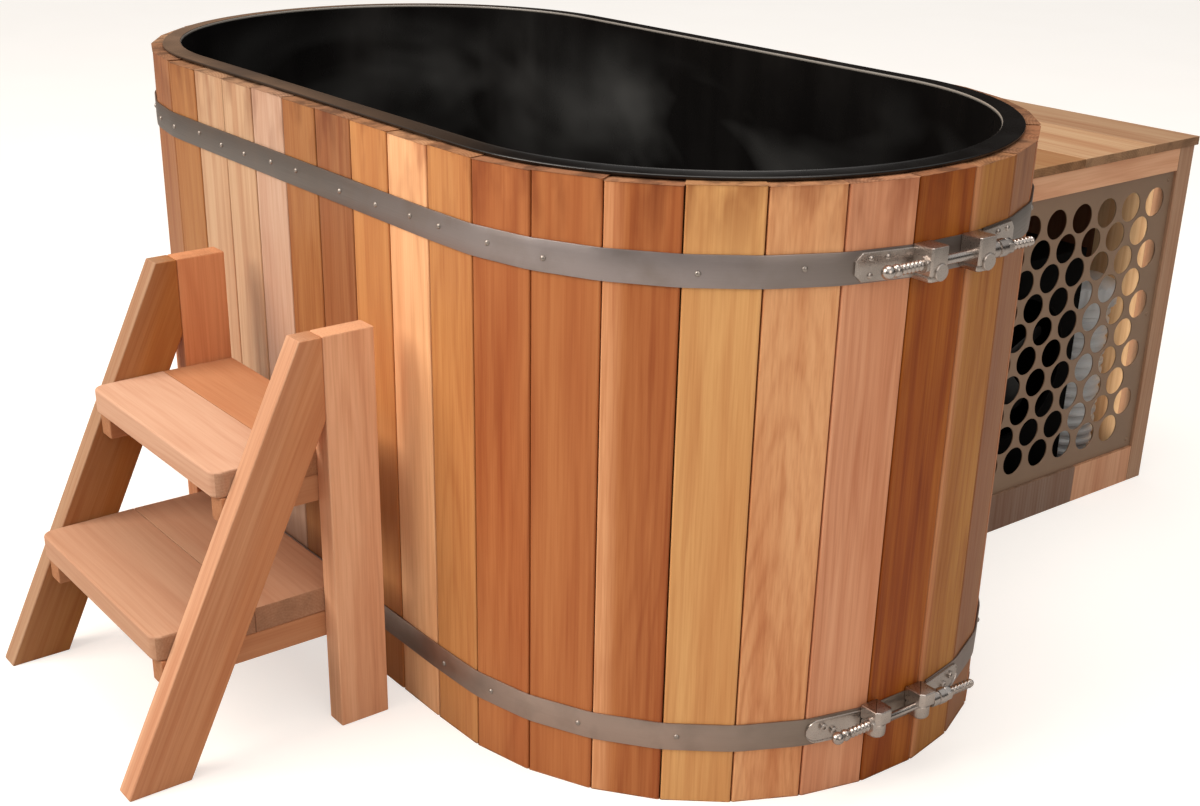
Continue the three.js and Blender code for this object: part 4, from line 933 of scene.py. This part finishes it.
for node, tone in STEP_PIECES.items():
    low, high = extent(node)
    if node.endswith("leg"):
        lean = (high[1] - LEG_TOP - low[1]) / high[2]
        meet = (high[1] - low[1] - LEG_FOOT) / lean
        corners = [(low[1], 0), (low[1] + LEG_FOOT, 0), (high[1], meet), (high[1], high[2]),
                   (high[1] - LEG_TOP, high[2])]
        axes = np.array([(0, 1, 0), (0, 0, 1), (1, 0, 0)])
        solid = slab(rounded(corners, STEP_EDGE), low[0], high[0], STEP_EDGE, axes)
        along = np.array([0, lean, 1]) / math.hypot(lean, 1)
        across = np.cross((1, 0, 0), along)
    elif "_tread_" in node:
        corners = [(low[0], low[1]), (high[0], low[1]), (high[0], high[1]), (low[0], high[1])]
        if node.endswith("front"):
            radii = [TREAD_CORNER, TREAD_CORNER, JOINT_EDGE, JOINT_EDGE]
            joint = high[1]
        else:
            radii = [JOINT_EDGE, JOINT_EDGE, TREAD_EDGE, TREAD_EDGE]
            joint = low[1]
        outline = rounded(corners, radii, 8)
        ease = np.where(np.abs(outline[:, 1] - joint) < 0.001, JOINT_EDGE, TREAD_EDGE)
        solid = slab(outline, low[2], high[2], ease)
        along, across = (1, 0, 0), (0, 1, 0)
    else:
        solid, along, across, _ = beam(low, high, 2 if node.endswith("post") else 1, "", STEP_EDGE)
    figure = UPRIGHT_FIGURE if node.endswith(("leg", "post")) else 1.0
    points = solid[0]
    colour = np.broadcast_to(linear(FRESH_TONES[tone]), (len(points), 4)) * (1, 1, 1, figure)
    # A leg's front face and its rounded edge take the paler tone: a painted highlight where the light falls
    if node in PAINTED_LIT_FRONTS:
        depth = points[:, 1] - low[1] - lean * points[:, 2]
        edge = np.clip(1.5 - depth / STEP_EDGE, 0, 1)[:, None]
        colour = colour * (1 - edge) + np.array(linear(PAINTED_LIT_FRONTS[node])) * (1, 1, 1, figure) * edge
    wooden(f"{node}_board", [(solid, along, across, colour)], step_finish, "steps", "step_cedar", node)


# Cabinet: square cedar posts with rails between them at both ends, boarded sides and floor, and a boarded
# lid on two battens hinged along the tub side.
SIDE_BOARDS = 6
LID_SEAMS = (0.159, 0.335, 0.511)
BATTEN_WIDTH = 0.060
BATTEN_INSET = 0.090
BATTEN_END = 0.045
BATTEN_DROP = 0.019
BATTEN_GAP = 0.0002
LID_OVERHANG = 0.004
SEAM = 0.0006
SEAM_EDGE = 0.0012
RAIL_SEAM = 0.862
cabinet_cedar = cedar("weathered_planed_cedar", 0.55)
cabinet_finish = [cabinet_cedar, end_grain("weathered_cedar_end_grain", 0.3)]
# The way each timber's grain runs, and the tones of the pieces it is glued up from
FRAME_TONES = {
    "cabinet_front_outer_post": (2, "BA9A80"),
    "cabinet_front_tub_side_post": (2, "B98C6A"),
    "cabinet_rear_outer_post": (2, "BE8A60"),
    "cabinet_rear_tub_side_post": (2, "B78259"),
    "cabinet_front_top_rail": (1, "EEBE9A"),
    "cabinet_rear_top_rail": (1, "C98E62"),
    "cabinet_front_bottom_rail": (2, "907A6C", "DCAA88"),
    "cabinet_rear_bottom_rail": (1, "B98760"),
}


def boarded(low, high, seams, across, axis, tones):
    """Boards side by side between two corners, parted by narrow seams at the given places across."""
    edges = [low[across], *seams, high[across]]
    boards = []
    for start, stop, tone in zip(edges, edges[1:], tones):
        first = np.array(low)
        last = np.array(high)
        first[across] = start + SEAM / 2
        last[across] = stop - SEAM / 2
        boards.append(beam(first, last, axis, tone, SEAM_EDGE))
    return boards


for node, (axis, *tones) in FRAME_TONES.items():
    low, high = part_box(node)
    seams = [RAIL_SEAM] * (len(tones) - 1)
    boards = boarded(low, high, seams, 1, axis, tones)
    wooden(f"{node}_timber", boards, cabinet_finish, "tub", "cabinet_cedar", node)

# Board tones from the rear end to the front; the outer panel's fourth and fifth boards are painted dark
# brown, painted shade where the grille's holes look into the bay
SIDE_TONES = {
    "cabinet_outer_panel": ("D9B890", "B88A62", "CFA67C", "7E5A42", "6A4A36", "E6CBA4"),
    "cabinet_tub_side_panel": ("7A5640", "805A42", "74523C", "7E5B46", "785440", "6E4E3A"),
}
for node, tones in SIDE_TONES.items():
    low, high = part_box(node)
    seams = np.linspace(low.x, high.x, SIDE_BOARDS + 1)[1:-1]
    boards = boarded(low, high, seams, 0, 2, tones)
    wooden(f"{node}_boards", boards, cabinet_finish, "tub", "cabinet_cedar", node)
bay_low, bay_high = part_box("cabinet_floor")
seams = np.linspace(bay_low.y, bay_high.y, SIDE_BOARDS + 1)[1:-1]
boards = boarded(bay_low, bay_high, seams, 1, 0, SIDE_TONES["cabinet_tub_side_panel"])
wooden("cabinet_floor_boards", boards, [rough_cedar, sawn_end], "tub", "cabinet_cedar", "cabinet_floor")

LID_TONES = ("B8946E", "A8835C", "BFA07E", "A98B6E")
BATTEN_TONE = "BF8C62"
low, high = extent("cabinet_lid")
deck_low = low + (0, 0, BATTEN_DROP)
boards = boarded(deck_low, high, [low[1] + seam for seam in LID_SEAMS], 1, 0, LID_TONES)
for start in (bay_high.x - BATTEN_INSET - BATTEN_WIDTH, bay_low.x + BATTEN_INSET):
    first = (start, low[1] + BATTEN_END, low[2])
    last = (start + BATTEN_WIDTH, high[1] - LID_OVERHANG - BATTEN_END, deck_low[2] - BATTEN_GAP)
    boards.append(beam(first, last, 1, BATTEN_TONE))
wooden("cabinet_lid_boards", boards, cabinet_finish, "lid", "cabinet_cedar", "cabinet_lid")


# Lid hinge: a long strip hinge along the tub side, rolled from stainless sheet. The fixed leaf, its knuckles
# and the pin are screwed to the cabinet; the moving leaf and its knuckles lift with the lid.
HINGE_KNUCKLES = 5
KNUCKLE_RADIUS = 0.004
LEAF = 0.0015
hinge_steel = steel("rolled_stainless_hinge", "B7B0AA", 0.32)
hinge_low, hinge_high = extent("lid_hinge_fixed_leaf")
hinge_length = hinge_high[0] - hinge_low[0]
hinge_step = hinge_length / HINGE_KNUCKLES
pin_foot = np.array([hinge_low[0], hinge_low[1] + KNUCKLE_RADIUS, hinge_high[2] - KNUCKLE_RADIUS])
roll = [(FIT, 0.0036), (2 * FIT, KNUCKLE_RADIUS), (hinge_step - 2 * FIT, KNUCKLE_RADIUS),
        (hinge_step - FIT, 0.0036), (hinge_step - FIT, 0.0028), (FIT, 0.0028)]
pin = [(FIT, 0.0018), (0.0010, 0.0024), (hinge_length - 0.0010, 0.0024), (hinge_length - FIT, 0.0018)]


def upright_sheet(left, right, *heights):
    """Sheet against the cabinet's tub side between two heights, its corners round and its edges eased."""
    bottom, top = sorted(heights)
    outline = rectangle(right - left, top - bottom, 0.0008, 2)
    middle = ((left + right) / 2, hinge_high[1] - LEAF / 2, (bottom + top) / 2)
    axes = np.array([(1, 0, 0), (0, 0, 1), (0, -1, 0)])
    return slab(outline, -LEAF / 2, LEAF / 2, 0.0003, axes, middle)


for name, body, first, way in (("fixed", "tub", 0, -1), ("moving", "lid", 1, 1)):
    low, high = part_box(f"lid_hinge_{name}_leaf")
    near = pin_foot[2] + way * (KNUCKLE_RADIUS + FIT)
    far = high.z if way > 0 else low.z
    solids = [upright_sheet(low.x, high.x, near, far)]
    for k in range(first, HINGE_KNUCKLES, 2):
        left = hinge_low[0] + k * hinge_step
        solids.append(turned(roll, pin_foot + (k * hinge_step, 0, 0), (1, 0, 0), 24, True))
        solids.append(upright_sheet(left + FIT, left + hinge_step - FIT, pin_foot[2], near + way * LEAF))
    if name == "fixed":
        solids.append(turned(pin, pin_foot, (1, 0, 0), 16))
    make(f"lid_hinge_{name}_strip", solids, [hinge_steel], body, "hinge_steel", f"lid_hinge_{name}_leaf",
         smooth=35)


# Grilles: a sheet of punched steel in each end of the cabinet, painted grey-bronze, with staggered rows of
# round holes for the chiller's air and small screws round its border.
HOLE_RADIUS = 0.024
HOLE_SIDES = 40
HOLE_PITCH = 0.0627
HOLE_ROW = 0.0435
HOLE_MARGIN = 0.042
HOLE_BOTTOM = 0.049
HOLE_ROWS = 10
SHEET_THICKNESS = 0.002
SHEET_EDGE = 0.0002
SCREW_INSET = 0.012
SCREW_END_INSET = 0.014
grille_paint, tree = new_material("powder_coated_punched_steel")
place = add(tree, "TexCoord").outputs["Object"]
grain = add(tree, "TexNoise", {"Vector": place, "Scale": 700.0, "Detail": 2.0})
rub = add(tree, "TexNoise", {"Vector": place, "Scale": 9.0, "Detail": 4.0, "Roughness": 0.65})
tone = add(tree, "Mix", {0: rub, 6: linear("7E6652"), 7: linear("987D66")}, data_type="RGBA")
gloss = add(tree, "MapRange", {0: rub, 3: 0.36, 4: 0.55})
bump = add(tree, "Bump", {"Height": grain, "Strength": 0.1, "Distance": 0.0004})
powder = add(tree, "BsdfPrincipled", {"Base Color": tone, "Roughness": gloss, "Normal": bump,
                                      "Metallic": 0.15})
add(tree, "OutputMaterial", {"Surface": powder})


def punched_sheet(name, low, high):
    """Flat sheet in the Y-Z plane: a filled outline with a circle cut for each hole. Rows count up from the
    bottom and holes from the outer edge; every other row moves over by half a pitch."""
    outline = [np.array([(low.y, low.z), (high.y, low.z), (high.y, high.z), (low.y, high.z)])]
    turn = np.arange(HOLE_SIDES) * 2 * math.pi / HOLE_SIDES
    circle = HOLE_RADIUS * np.stack([np.cos(turn), np.sin(turn)], axis=1)
    for row in range(HOLE_ROWS):
        first = HOLE_MARGIN + (HOLE_PITCH / 2 if row % 2 == 0 else 0)
        for over in np.arange(first, high.y - low.y - HOLE_RADIUS, HOLE_PITCH):
            outline.append(circle + (high.y - over, low.z + HOLE_BOTTOM + row * HOLE_ROW))
    curve = bpy.data.curves.new(name, "CURVE")
    curve.dimensions = "2D"
    curve.fill_mode = "BOTH"
    curve.extrude = SHEET_THICKNESS / 2 - SHEET_EDGE
    curve.bevel_depth = SHEET_EDGE
    curve.bevel_resolution = 0
    for loop in outline:
        spline = curve.splines.new("POLY")
        spline.points.add(len(loop) - 1)
        flat = np.column_stack([loop, np.zeros(len(loop)), np.ones(len(loop))])
        spline.points.foreach_set("co", flat.ravel())
        spline.use_cyclic_u = True
    drawn = bpy.data.objects.new(name, curve)
    mesh = bpy.data.meshes.new_from_object(drawn)
    bpy.data.objects.remove(drawn)
    mesh.transform(Matrix(((0, 0, 1, (low.x + high.x) / 2), (1, 0, 0, 0), (0, 1, 0, 0), (0, 0, 0, 1))))
    return mesh


for end, facing in (("front", 1), ("rear", -1)):
    node = f"cabinet_{end}_grille"
    low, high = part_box(node)
    mesh = punched_sheet(f"{end}_punched_sheet", low, high)
    place_mesh(f"{end}_punched_sheet", mesh, [grille_paint], "tub", "grille_paint", node)
    face = high.x if facing > 0 else low.x
    head = dome(0.0038, rise=0.0018, sink=0.001)
    heads = []
    for y in (low.y + SCREW_INSET, high.y - SCREW_INSET):
        for z in (low.z + SCREW_END_INSET, (low.z + high.z) / 2, high.z - SCREW_END_INSET):
            heads.append(turned(head, (face, y, z), (facing, 0, 0), 12))
    make(f"{end}_grille_screws", heads, [grille_paint], "tub", "grille_paint", smooth=50)


# Chiller: a black powder-coated steel casing, open at the front where the fan blows, with the fan's bearing
# on a bracket inside. The casing is the CAD solid, coated; a rolled rim edges its mouth and screws hold its
# panels.
RIM_RADIUS = 0.119
FAN_HEIGHT = 0.240
CASING_SCREW_INSET = 0.014
casing_low, casing_high = extent("chiller_casing")


def moulded(name, colours, roughness, grain, sheen=0.5):
    """Painted or moulded surface: its colour drifts between two tones and a fine noise dimples it."""
    material, tree = new_material(name)
    place = add(tree, "TexCoord").outputs["Object"]
    drift = add(tree, "TexNoise", {"Vector": place, "Scale": 14.0, "Detail": 4.0, "Roughness": 0.6})
    fine = add(tree, "TexNoise", {"Vector": place, "Scale": 1 / grain, "Detail": 2.0})
    tone = add(tree, "Mix", {0: drift, 6: linear(colours[0]), 7: linear(colours[1])}, data_type="RGBA")
    gloss = add(tree, "MapRange", {0: drift, 3: roughness - 0.1, 4: roughness + 0.1})
    bump = add(tree, "Bump", {"Height": fine, "Strength": 0.15, "Distance": 0.0004})
    skin = add(tree, "BsdfPrincipled", {"Base Color": tone, "Roughness": gloss, "Normal": bump,
                                        "Specular IOR Level": sheen})
    add(tree, "OutputMaterial", {"Surface": skin})
    return material


casing_paint = moulded("black_powder_coat", ("060606", "0C0C0D"), 0.7, 0.0016, 0.05)
coat("chiller_casing", casing_paint)
hub_at = np.array([casing_high[0], (casing_low[1] + casing_high[1]) / 2, casing_low[2] + FAN_HEIGHT])
rim = [(-0.0005, RIM_RADIUS + 0.006), (0.0012, RIM_RADIUS + 0.006), (0.0030, RIM_RADIUS + 0.003),
       (0.0030, RIM_RADIUS), (0.0012, RIM_RADIUS - 0.0005), (-0.0005, RIM_RADIUS)]
head = dome(0.0045, rise=0.0022, sink=0.0005)
trim = [turned(rim, hub_at, (1, 0, 0), 72, True)]
screw_low = casing_low + CASING_SCREW_INSET
screw_high = casing_high - CASING_SCREW_INSET
for y in (screw_low[1], screw_high[1]):
    for z in np.linspace(screw_low[2], screw_high[2], 4):
        trim.append(turned(head, (casing_high[0], y, z), (1, 0, 0), 14))
make("chiller_mouth_trim", trim, [casing_paint], "tub", "casing_paint", smooth=40)


# Fan: five moulded blades, twisted and cambered, on a domed hub that turns on a steel shaft in the bearing;
# the shaft is drawn in the hub's moulded nylon.
BLADE_COUNT = 5
BLADE_ROOT = 0.018
BLADE_TIP = 0.112
ROOT_CHORD = 0.030
CHORD_GROWTH = 0.020
TIP_START = 0.8
TIP_ROUND = 18
ROOT_PITCH = 38
TIP_PITCH = 24
BLADE_BOW = 0.0035
BLADE_HALF = 0.0012
HUB_RADIUS = 0.022
HUB_LENGTH = 0.026
SHAFT_RADIUS = 0.004
fan_plastic = moulded("moulded_black_nylon", ("0E0E0F", "191A1B"), 0.42, 0.0022)
shaft_end, hub_front = (corner.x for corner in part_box("chiller_fan"))
hub_foot = np.array([hub_front, hub_at[1], hub_at[2]])
hub_middle = hub_foot - (HUB_LENGTH / 2, 0, 0)
span = np.linspace(0, 1, 13)
round_section = np.linspace(0, 2 * math.pi, 24, endpoint=False)


def blade(turn):
    """Blade: lens sections stacked along the radius. Chord and pitch ease from root to tip, the section bows
    by the square of a sine, and the tip is drawn in along an ellipse."""
    radius = BLADE_ROOT + (BLADE_TIP - BLADE_ROOT) * span
    tip = np.clip(span - TIP_START, 0, 1)
    chord = ROOT_CHORD + CHORD_GROWTH * np.sin(span * math.pi / 2)
    chord = chord * np.sqrt(np.clip(1 - tip ** 2 * TIP_ROUND, 0.1, 1))
    pitch = np.radians(ROOT_PITCH + (TIP_PITCH - ROOT_PITCH) * span)
    across = np.cos(round_section)[None] * chord[:, None] / 2
    bow = BLADE_BOW * np.sin(round_section)[None] ** 2
    through = np.sin(round_section)[None] * BLADE_HALF + bow
    axial = -across * np.sin(pitch)[:, None] + through * np.cos(pitch)[:, None]
    side = across * np.cos(pitch)[:, None] + through * np.sin(pitch)[:, None]
    local = np.stack([axial, side, np.broadcast_to(radius[:, None], axial.shape)], axis=-1)
    cosine = math.cos(turn)
    sine = math.sin(turn)
    spin = np.array([(1, 0, 0), (0, cosine, sine), (0, -sine, cosine)])
    return ring_solid(local @ spin + hub_middle)


nose = np.linspace(0.2, 1.57, 6)
hub = [(-HUB_LENGTH, 0.015), (-HUB_LENGTH, HUB_RADIUS), (-0.004, HUB_RADIUS),
       *zip(-0.004 + 0.004 * np.sin(nose), HUB_RADIUS - 0.012 * (1 - np.cos(nose)))]
behind = shaft_end - hub_front
shaft = [(behind, 0.0036), (behind + 0.0005, SHAFT_RADIUS), (-HUB_LENGTH + 0.002, SHAFT_RADIUS)]
solids = [turned(hub, hub_foot, (1, 0, 0), 40), turned(shaft, hub_foot, (1, 0, 0), 16)]
solids += [blade(k * 2 * math.pi / BLADE_COUNT) for k in range(BLADE_COUNT)]
make("fan_rotor", solids, [fan_plastic], "fan", "fan_plastic", "chiller_fan", smooth=40)


# Filter and pipes: a blue-grey moulded canister with a ribbed body and a fluted screw head, a short pipe from
# it to the chiller, and smooth black hoses from the wall fittings.
FILTER_RADIUS = 0.050
FILTER_HEAD_RADIUS = 0.057
FILTER_BODY = 0.300
FILTER_HEAD = 0.046
RIB_PITCH = 0.018
RIB_DEPTH = 0.0020
HEAD_FLUTES = 24
FLUTE_DEPTH = 0.0015
HOSE_RADIUS = 0.016
filter_plastic = moulded("moulded_grey_polypropylene", ("BFC4C8", "D8DADB"), 0.38, 0.0018)
hose_rubber = moulded("smooth_black_rubber", ("121213", "1D1D1E"), 0.55, 0.0014)
filter_low, filter_high = extent("filter_housing")
filter_foot = np.append(filter_high[:2] - FILTER_HEAD_RADIUS, filter_low[2])
rise = np.linspace(0.020, FILTER_BODY - 0.012, 180)
ribs = FILTER_RADIUS - 0.0022 + RIB_DEPTH * np.clip(np.cos(rise / RIB_PITCH * 2 * math.pi) * 2, -1, 1)
body = np.concatenate([[(0, 0.040), (0.004, 0.047), (0.010, FILTER_RADIUS)], np.stack([rise, ribs], axis=1),
                       [(FILTER_BODY, FILTER_RADIUS - 0.002), (FILTER_BODY + 0.004, FILTER_RADIUS - 0.002)]])
turn = np.linspace(0, 2 * math.pi, HEAD_FLUTES * 6, endpoint=False)
flute = FLUTE_DEPTH * (1 - np.cos(turn * HEAD_FLUTES)) / 2
head = np.array([(0, 0.050), (0.0015, FILTER_HEAD_RADIUS), (0.034, FILTER_HEAD_RADIUS), (0.037, 0.054),
                 (0.043, 0.040), (FILTER_HEAD, 0.034), (FILTER_HEAD, 0.010)])
reach = head[:, 1:] - flute * (head[:, 1:] > 0.0545)
height = np.broadcast_to(head[:, :1] + FILTER_BODY, reach.shape)
head_rings = np.stack([reach * np.cos(turn), reach * np.sin(turn), height], axis=-1) + filter_foot
port = filter_foot + (0, 0, FILTER_BODY + FILTER_HEAD / 2)
stub_length = port[0] - filter_low[0]
stub = [(0.030, HOSE_RADIUS), (stub_length - 0.001, HOSE_RADIUS), (stub_length, 0.015), (stub_length, 0.004)]
solids = [turned(body, filter_foot, (0, 0, 1), 64), ring_solid(head_rings),
          turned(stub, port, (-1, 0, 0), 28)]
make("filter_canister", solids, [filter_plastic], "tub", "filter_plastic", "filter_housing", smooth=35)

pipe_low, pipe_high = extent("filter_pipe")
pipe_length = pipe_high[1] - pipe_low[1]
cuff = [(0, 0.0145), (0.001, HOSE_RADIUS), (0.006, HOSE_RADIUS), (0.007, 0.0150)]
pipe = [*cuff, *[(pipe_length - place, radius) for place, radius in reversed(cuff)]]
pipe_foot = ((pipe_low[0] + pipe_high[0]) / 2, pipe_low[1], (pipe_low[2] + pipe_high[2]) / 2)
make("filter_pipe_sleeve", [turned(pipe, pipe_foot, (0, 1, 0), 28)], [hose_rubber], "tub", "hose_rubber",
     "filter_pipe", smooth=40)


HOSE_STEPS = 36
RETURN_PORT_OVER = 0.080
RETURN_PORT_HEIGHT = 0.380


def bezier(points):
    """Points along a cubic curve: its four control points blended by the usual cubic weights."""
    t = np.linspace(0, 1, HOSE_STEPS + 1)[:, None]
    weights = np.hstack([(1 - t) ** 3, 3 * t * (1 - t) ** 2, 3 * t ** 2 * (1 - t), t ** 3])
    return weights @ np.asarray(points)


def hose(path):
    """Tube along a path: at each point a circle across the path's direction, its top kept upward."""
    way = np.gradient(path, axis=0)
    way /= np.linalg.norm(way, axis=1, keepdims=True)
    side = np.cross(way, (0, 0, 1))
    side /= np.linalg.norm(side, axis=1, keepdims=True)
    top = np.cross(way, side)
    turn = np.linspace(0, 2 * math.pi, 24, endpoint=False)[:, None]
    spokes = np.cos(turn) * side[:, None] + np.sin(turn) * top[:, None]
    return ring_solid(path[:, None] + HOSE_RADIUS * spokes)


fitting_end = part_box("suction_fitting")[1].y + FIT
fitting_x, _, suction_z = np.mean(extent("suction_fitting"), axis=0)
return_z = np.mean(extent("return_fitting"), axis=0)[2]
turn_y = casing_high[1] - 2 * HOSE_RADIUS
reach = port[1] - turn_y
bend = np.array([fitting_x, turn_y, suction_z])
bent = np.array([casing_low[0], port[1], port[2]])
arrive = np.array([filter_low[0] - FIT, port[1], port[2]])
curve = bezier([bend, bend + (0, reach, 0), bent - (reach, 0, 0), bent])
leave = np.array([fitting_x, fitting_end, suction_z])
path = np.concatenate([np.linspace(leave, bend, 9)[:-1], curve, np.linspace(bent, arrive, 9)[1:]])
make("suction_hose_tube", [hose(path)], [hose_rubber], "tub", "hose_rubber", "suction_hose", smooth=40)
leave = np.array([casing_low[0] - FIT, casing_low[1] + RETURN_PORT_OVER, RETURN_PORT_HEIGHT])
arrive = np.array([fitting_x, fitting_end, return_z])
swing = leave[0] - fitting_x
path = bezier([leave, leave - (swing, 0, 0), arrive + (0, swing, 0), arrive])
make("return_hose_tube", [hose(path)], [hose_rubber], "tub", "hose_rubber", "return_hose", smooth=40)


# Wall fittings: black plastic inlets for the suction and return, each with a round flange against the liner,
# a six-sided lock nut against the staves and a hose socket in the cabinet.
fitting_plastic = moulded("moulded_black_plastic", ("111112", "1B1B1C"), 0.4, 0.0018)
liner_face = END_RADIUS + LINER_INNER
for node, height in (("suction_fitting", suction_z), ("return_fitting", return_z)):
    low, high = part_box(node)
    profile = [(liner_face + 0.012, 0.0130), (low.y + 0.003, 0.0140), (low.y, 0.0170), (low.y, 0.029),
               (low.y + 0.0012, 0.033), (low.y + 0.0025, 0.034), (liner_face, 0.034), (liner_face, 0.021),
               (high.y - 0.032, 0.021), (high.y - 0.030, 0.0195), (high.y - 0.012, 0.0195),
               (high.y - 0.010, 0.021), (high.y - 0.001, 0.021), (high.y, 0.0200), (high.y, 0.006)]
    ring = [(FIT, 0.029), (0.0015, 0.031), (0.0088, 0.031), (0.0103, 0.029), (0.0103, 0.0208), (FIT, 0.0208)]
    nut = turned(ring, (fitting_x, END_RADIUS, height), (0, 1, 0), 48, True, apothem=0.027)
    make(f"{node}_moulding", [turned(profile, (fitting_x, 0, height), (0, 1, 0), 40), nut],
         [fitting_plastic], "tub", "fitting_plastic", node, smooth=30)


# Drain: a cast brass ball valve at the rear end, with a flange inside the liner, a lock nut against the stave
# and a short spout. Its steel lever lies across the valve when shut and carries a black vinyl grip.
DRAIN_STAVE = 26
DRAIN_HEIGHT = 0.145
VALVE_START = 0.0103
VALVE_LENGTH = 0.048
SPOUT_LENGTH = 0.026
LEVER_LENGTH = 0.095
LEVER_BOTTOM = 0.0263
LEVER_HALF = 0.008
LEVER_THICKNESS = 0.004
LEVER_WAIST = 0.0015
GRIP_START = 0.036
GRIP_WALL = 0.0013
GRIP_THICKNESS = LEVER_THICKNESS + 2 * GRIP_WALL
drain_axes, face_foot = stave_frame(DRAIN_STAVE)
drain_foot = np.array([*face_foot, DRAIN_HEIGHT])
valve_brass = steel("cast_brass", "C9A55C", 0.34, grit=0.0016)
valve_end = VALVE_START + VALVE_LENGTH
middle = VALVE_START + VALVE_LENGTH / 2
bulge = [(middle + 0.016 * math.sin(a), 0.0140 + 0.0062 * math.cos(a)) for a in np.linspace(-1.3, 1.3, 11)]
profile = [(-0.040, 0.0110), (-0.0485, 0.0115), (-0.0490, 0.0125), (-0.0490, 0.0240), (-0.0478, 0.0258),
           (-0.0440, 0.0258), (-0.0440, 0.0150), (VALVE_START, 0.0150), (VALVE_START, 0.0192),
           (VALVE_START + 0.001, 0.0200), (VALVE_START + 0.006, 0.0200), (VALVE_START + 0.007, 0.0170),
           *bulge, (valve_end - 0.007, 0.0170), (valve_end - 0.006, 0.0200), (valve_end - 0.001, 0.0200),
           (valve_end, 0.0192), (valve_end, 0.0150), (valve_end + SPOUT_LENGTH - 0.001, 0.0150),
           (valve_end + SPOUT_LENGTH, 0.0142), (valve_end + SPOUT_LENGTH, 0.0120), (valve_end, 0.0112)]
nut = [(FIT, 0.0225), (0.0012, 0.0240), (0.0092, 0.0240), (0.0102, 0.0225), (0.0102, 0.0148), (FIT, 0.0148)]
neck = [(0.012, 0.0080), (0.0225, 0.0080), (0.0235, 0.0070), (LEVER_BOTTOM - FIT, 0.0070)]
pivot = drain_foot + middle * drain_axes[0]
solids = [turned(profile, drain_foot, drain_axes[0], 40),
          turned(nut, drain_foot, drain_axes[0], 48, True, apothem=0.0212),
          turned(neck, pivot, (0, 0, 1), 24)]
make("drain_ball_valve", solids, [valve_brass], "tub", "valve_brass", "drain_valve", smooth=32)


def paddle(start, stop, waist, bottom, thickness, ease):
    """Flat bar with half-round ends: its half width follows a circle at each end and narrows to a waist."""
    place = start + (stop - start) * (1 - np.cos(np.linspace(0, math.pi, 41))) / 2
    half = LEVER_HALF - waist * np.sin((place - start) / (stop - start) * math.pi) ** 2
    inside = np.clip(np.minimum(place - start, stop - place), 0.0002, LEVER_HALF)
    half = np.minimum(half, np.sqrt(2 * LEVER_HALF * inside - inside ** 2))
    outline = np.concatenate([np.stack([half, place], axis=1), np.stack([-half, place], axis=1)[::-1]])
    return slab(outline, bottom, bottom + thickness, ease, drain_axes, pivot)


cap = [(0, 0.0062), (0.0052, 0.0062), (0.0060, 0.0054)]
cap_foot = pivot + (0, 0, LEVER_BOTTOM + LEVER_THICKNESS)
bar = paddle(-LEVER_HALF, LEVER_LENGTH, LEVER_WAIST, LEVER_BOTTOM, LEVER_THICKNESS, ease=0.0008)
make("drain_lever_bar", [bar, turned(cap, cap_foot, (0, 0, 1), 36, apothem=0.0055)], [hinge_steel],
     "lever", "hinge_steel", "drain_lever", smooth=35)
grip = paddle(GRIP_START, LEVER_LENGTH + 0.0015, 0.0, LEVER_BOTTOM - GRIP_WALL, GRIP_THICKNESS, ease=0.0022)
make("drain_lever_grip", [grip], [fitting_plastic], "lever", "hinge_steel", smooth=40)
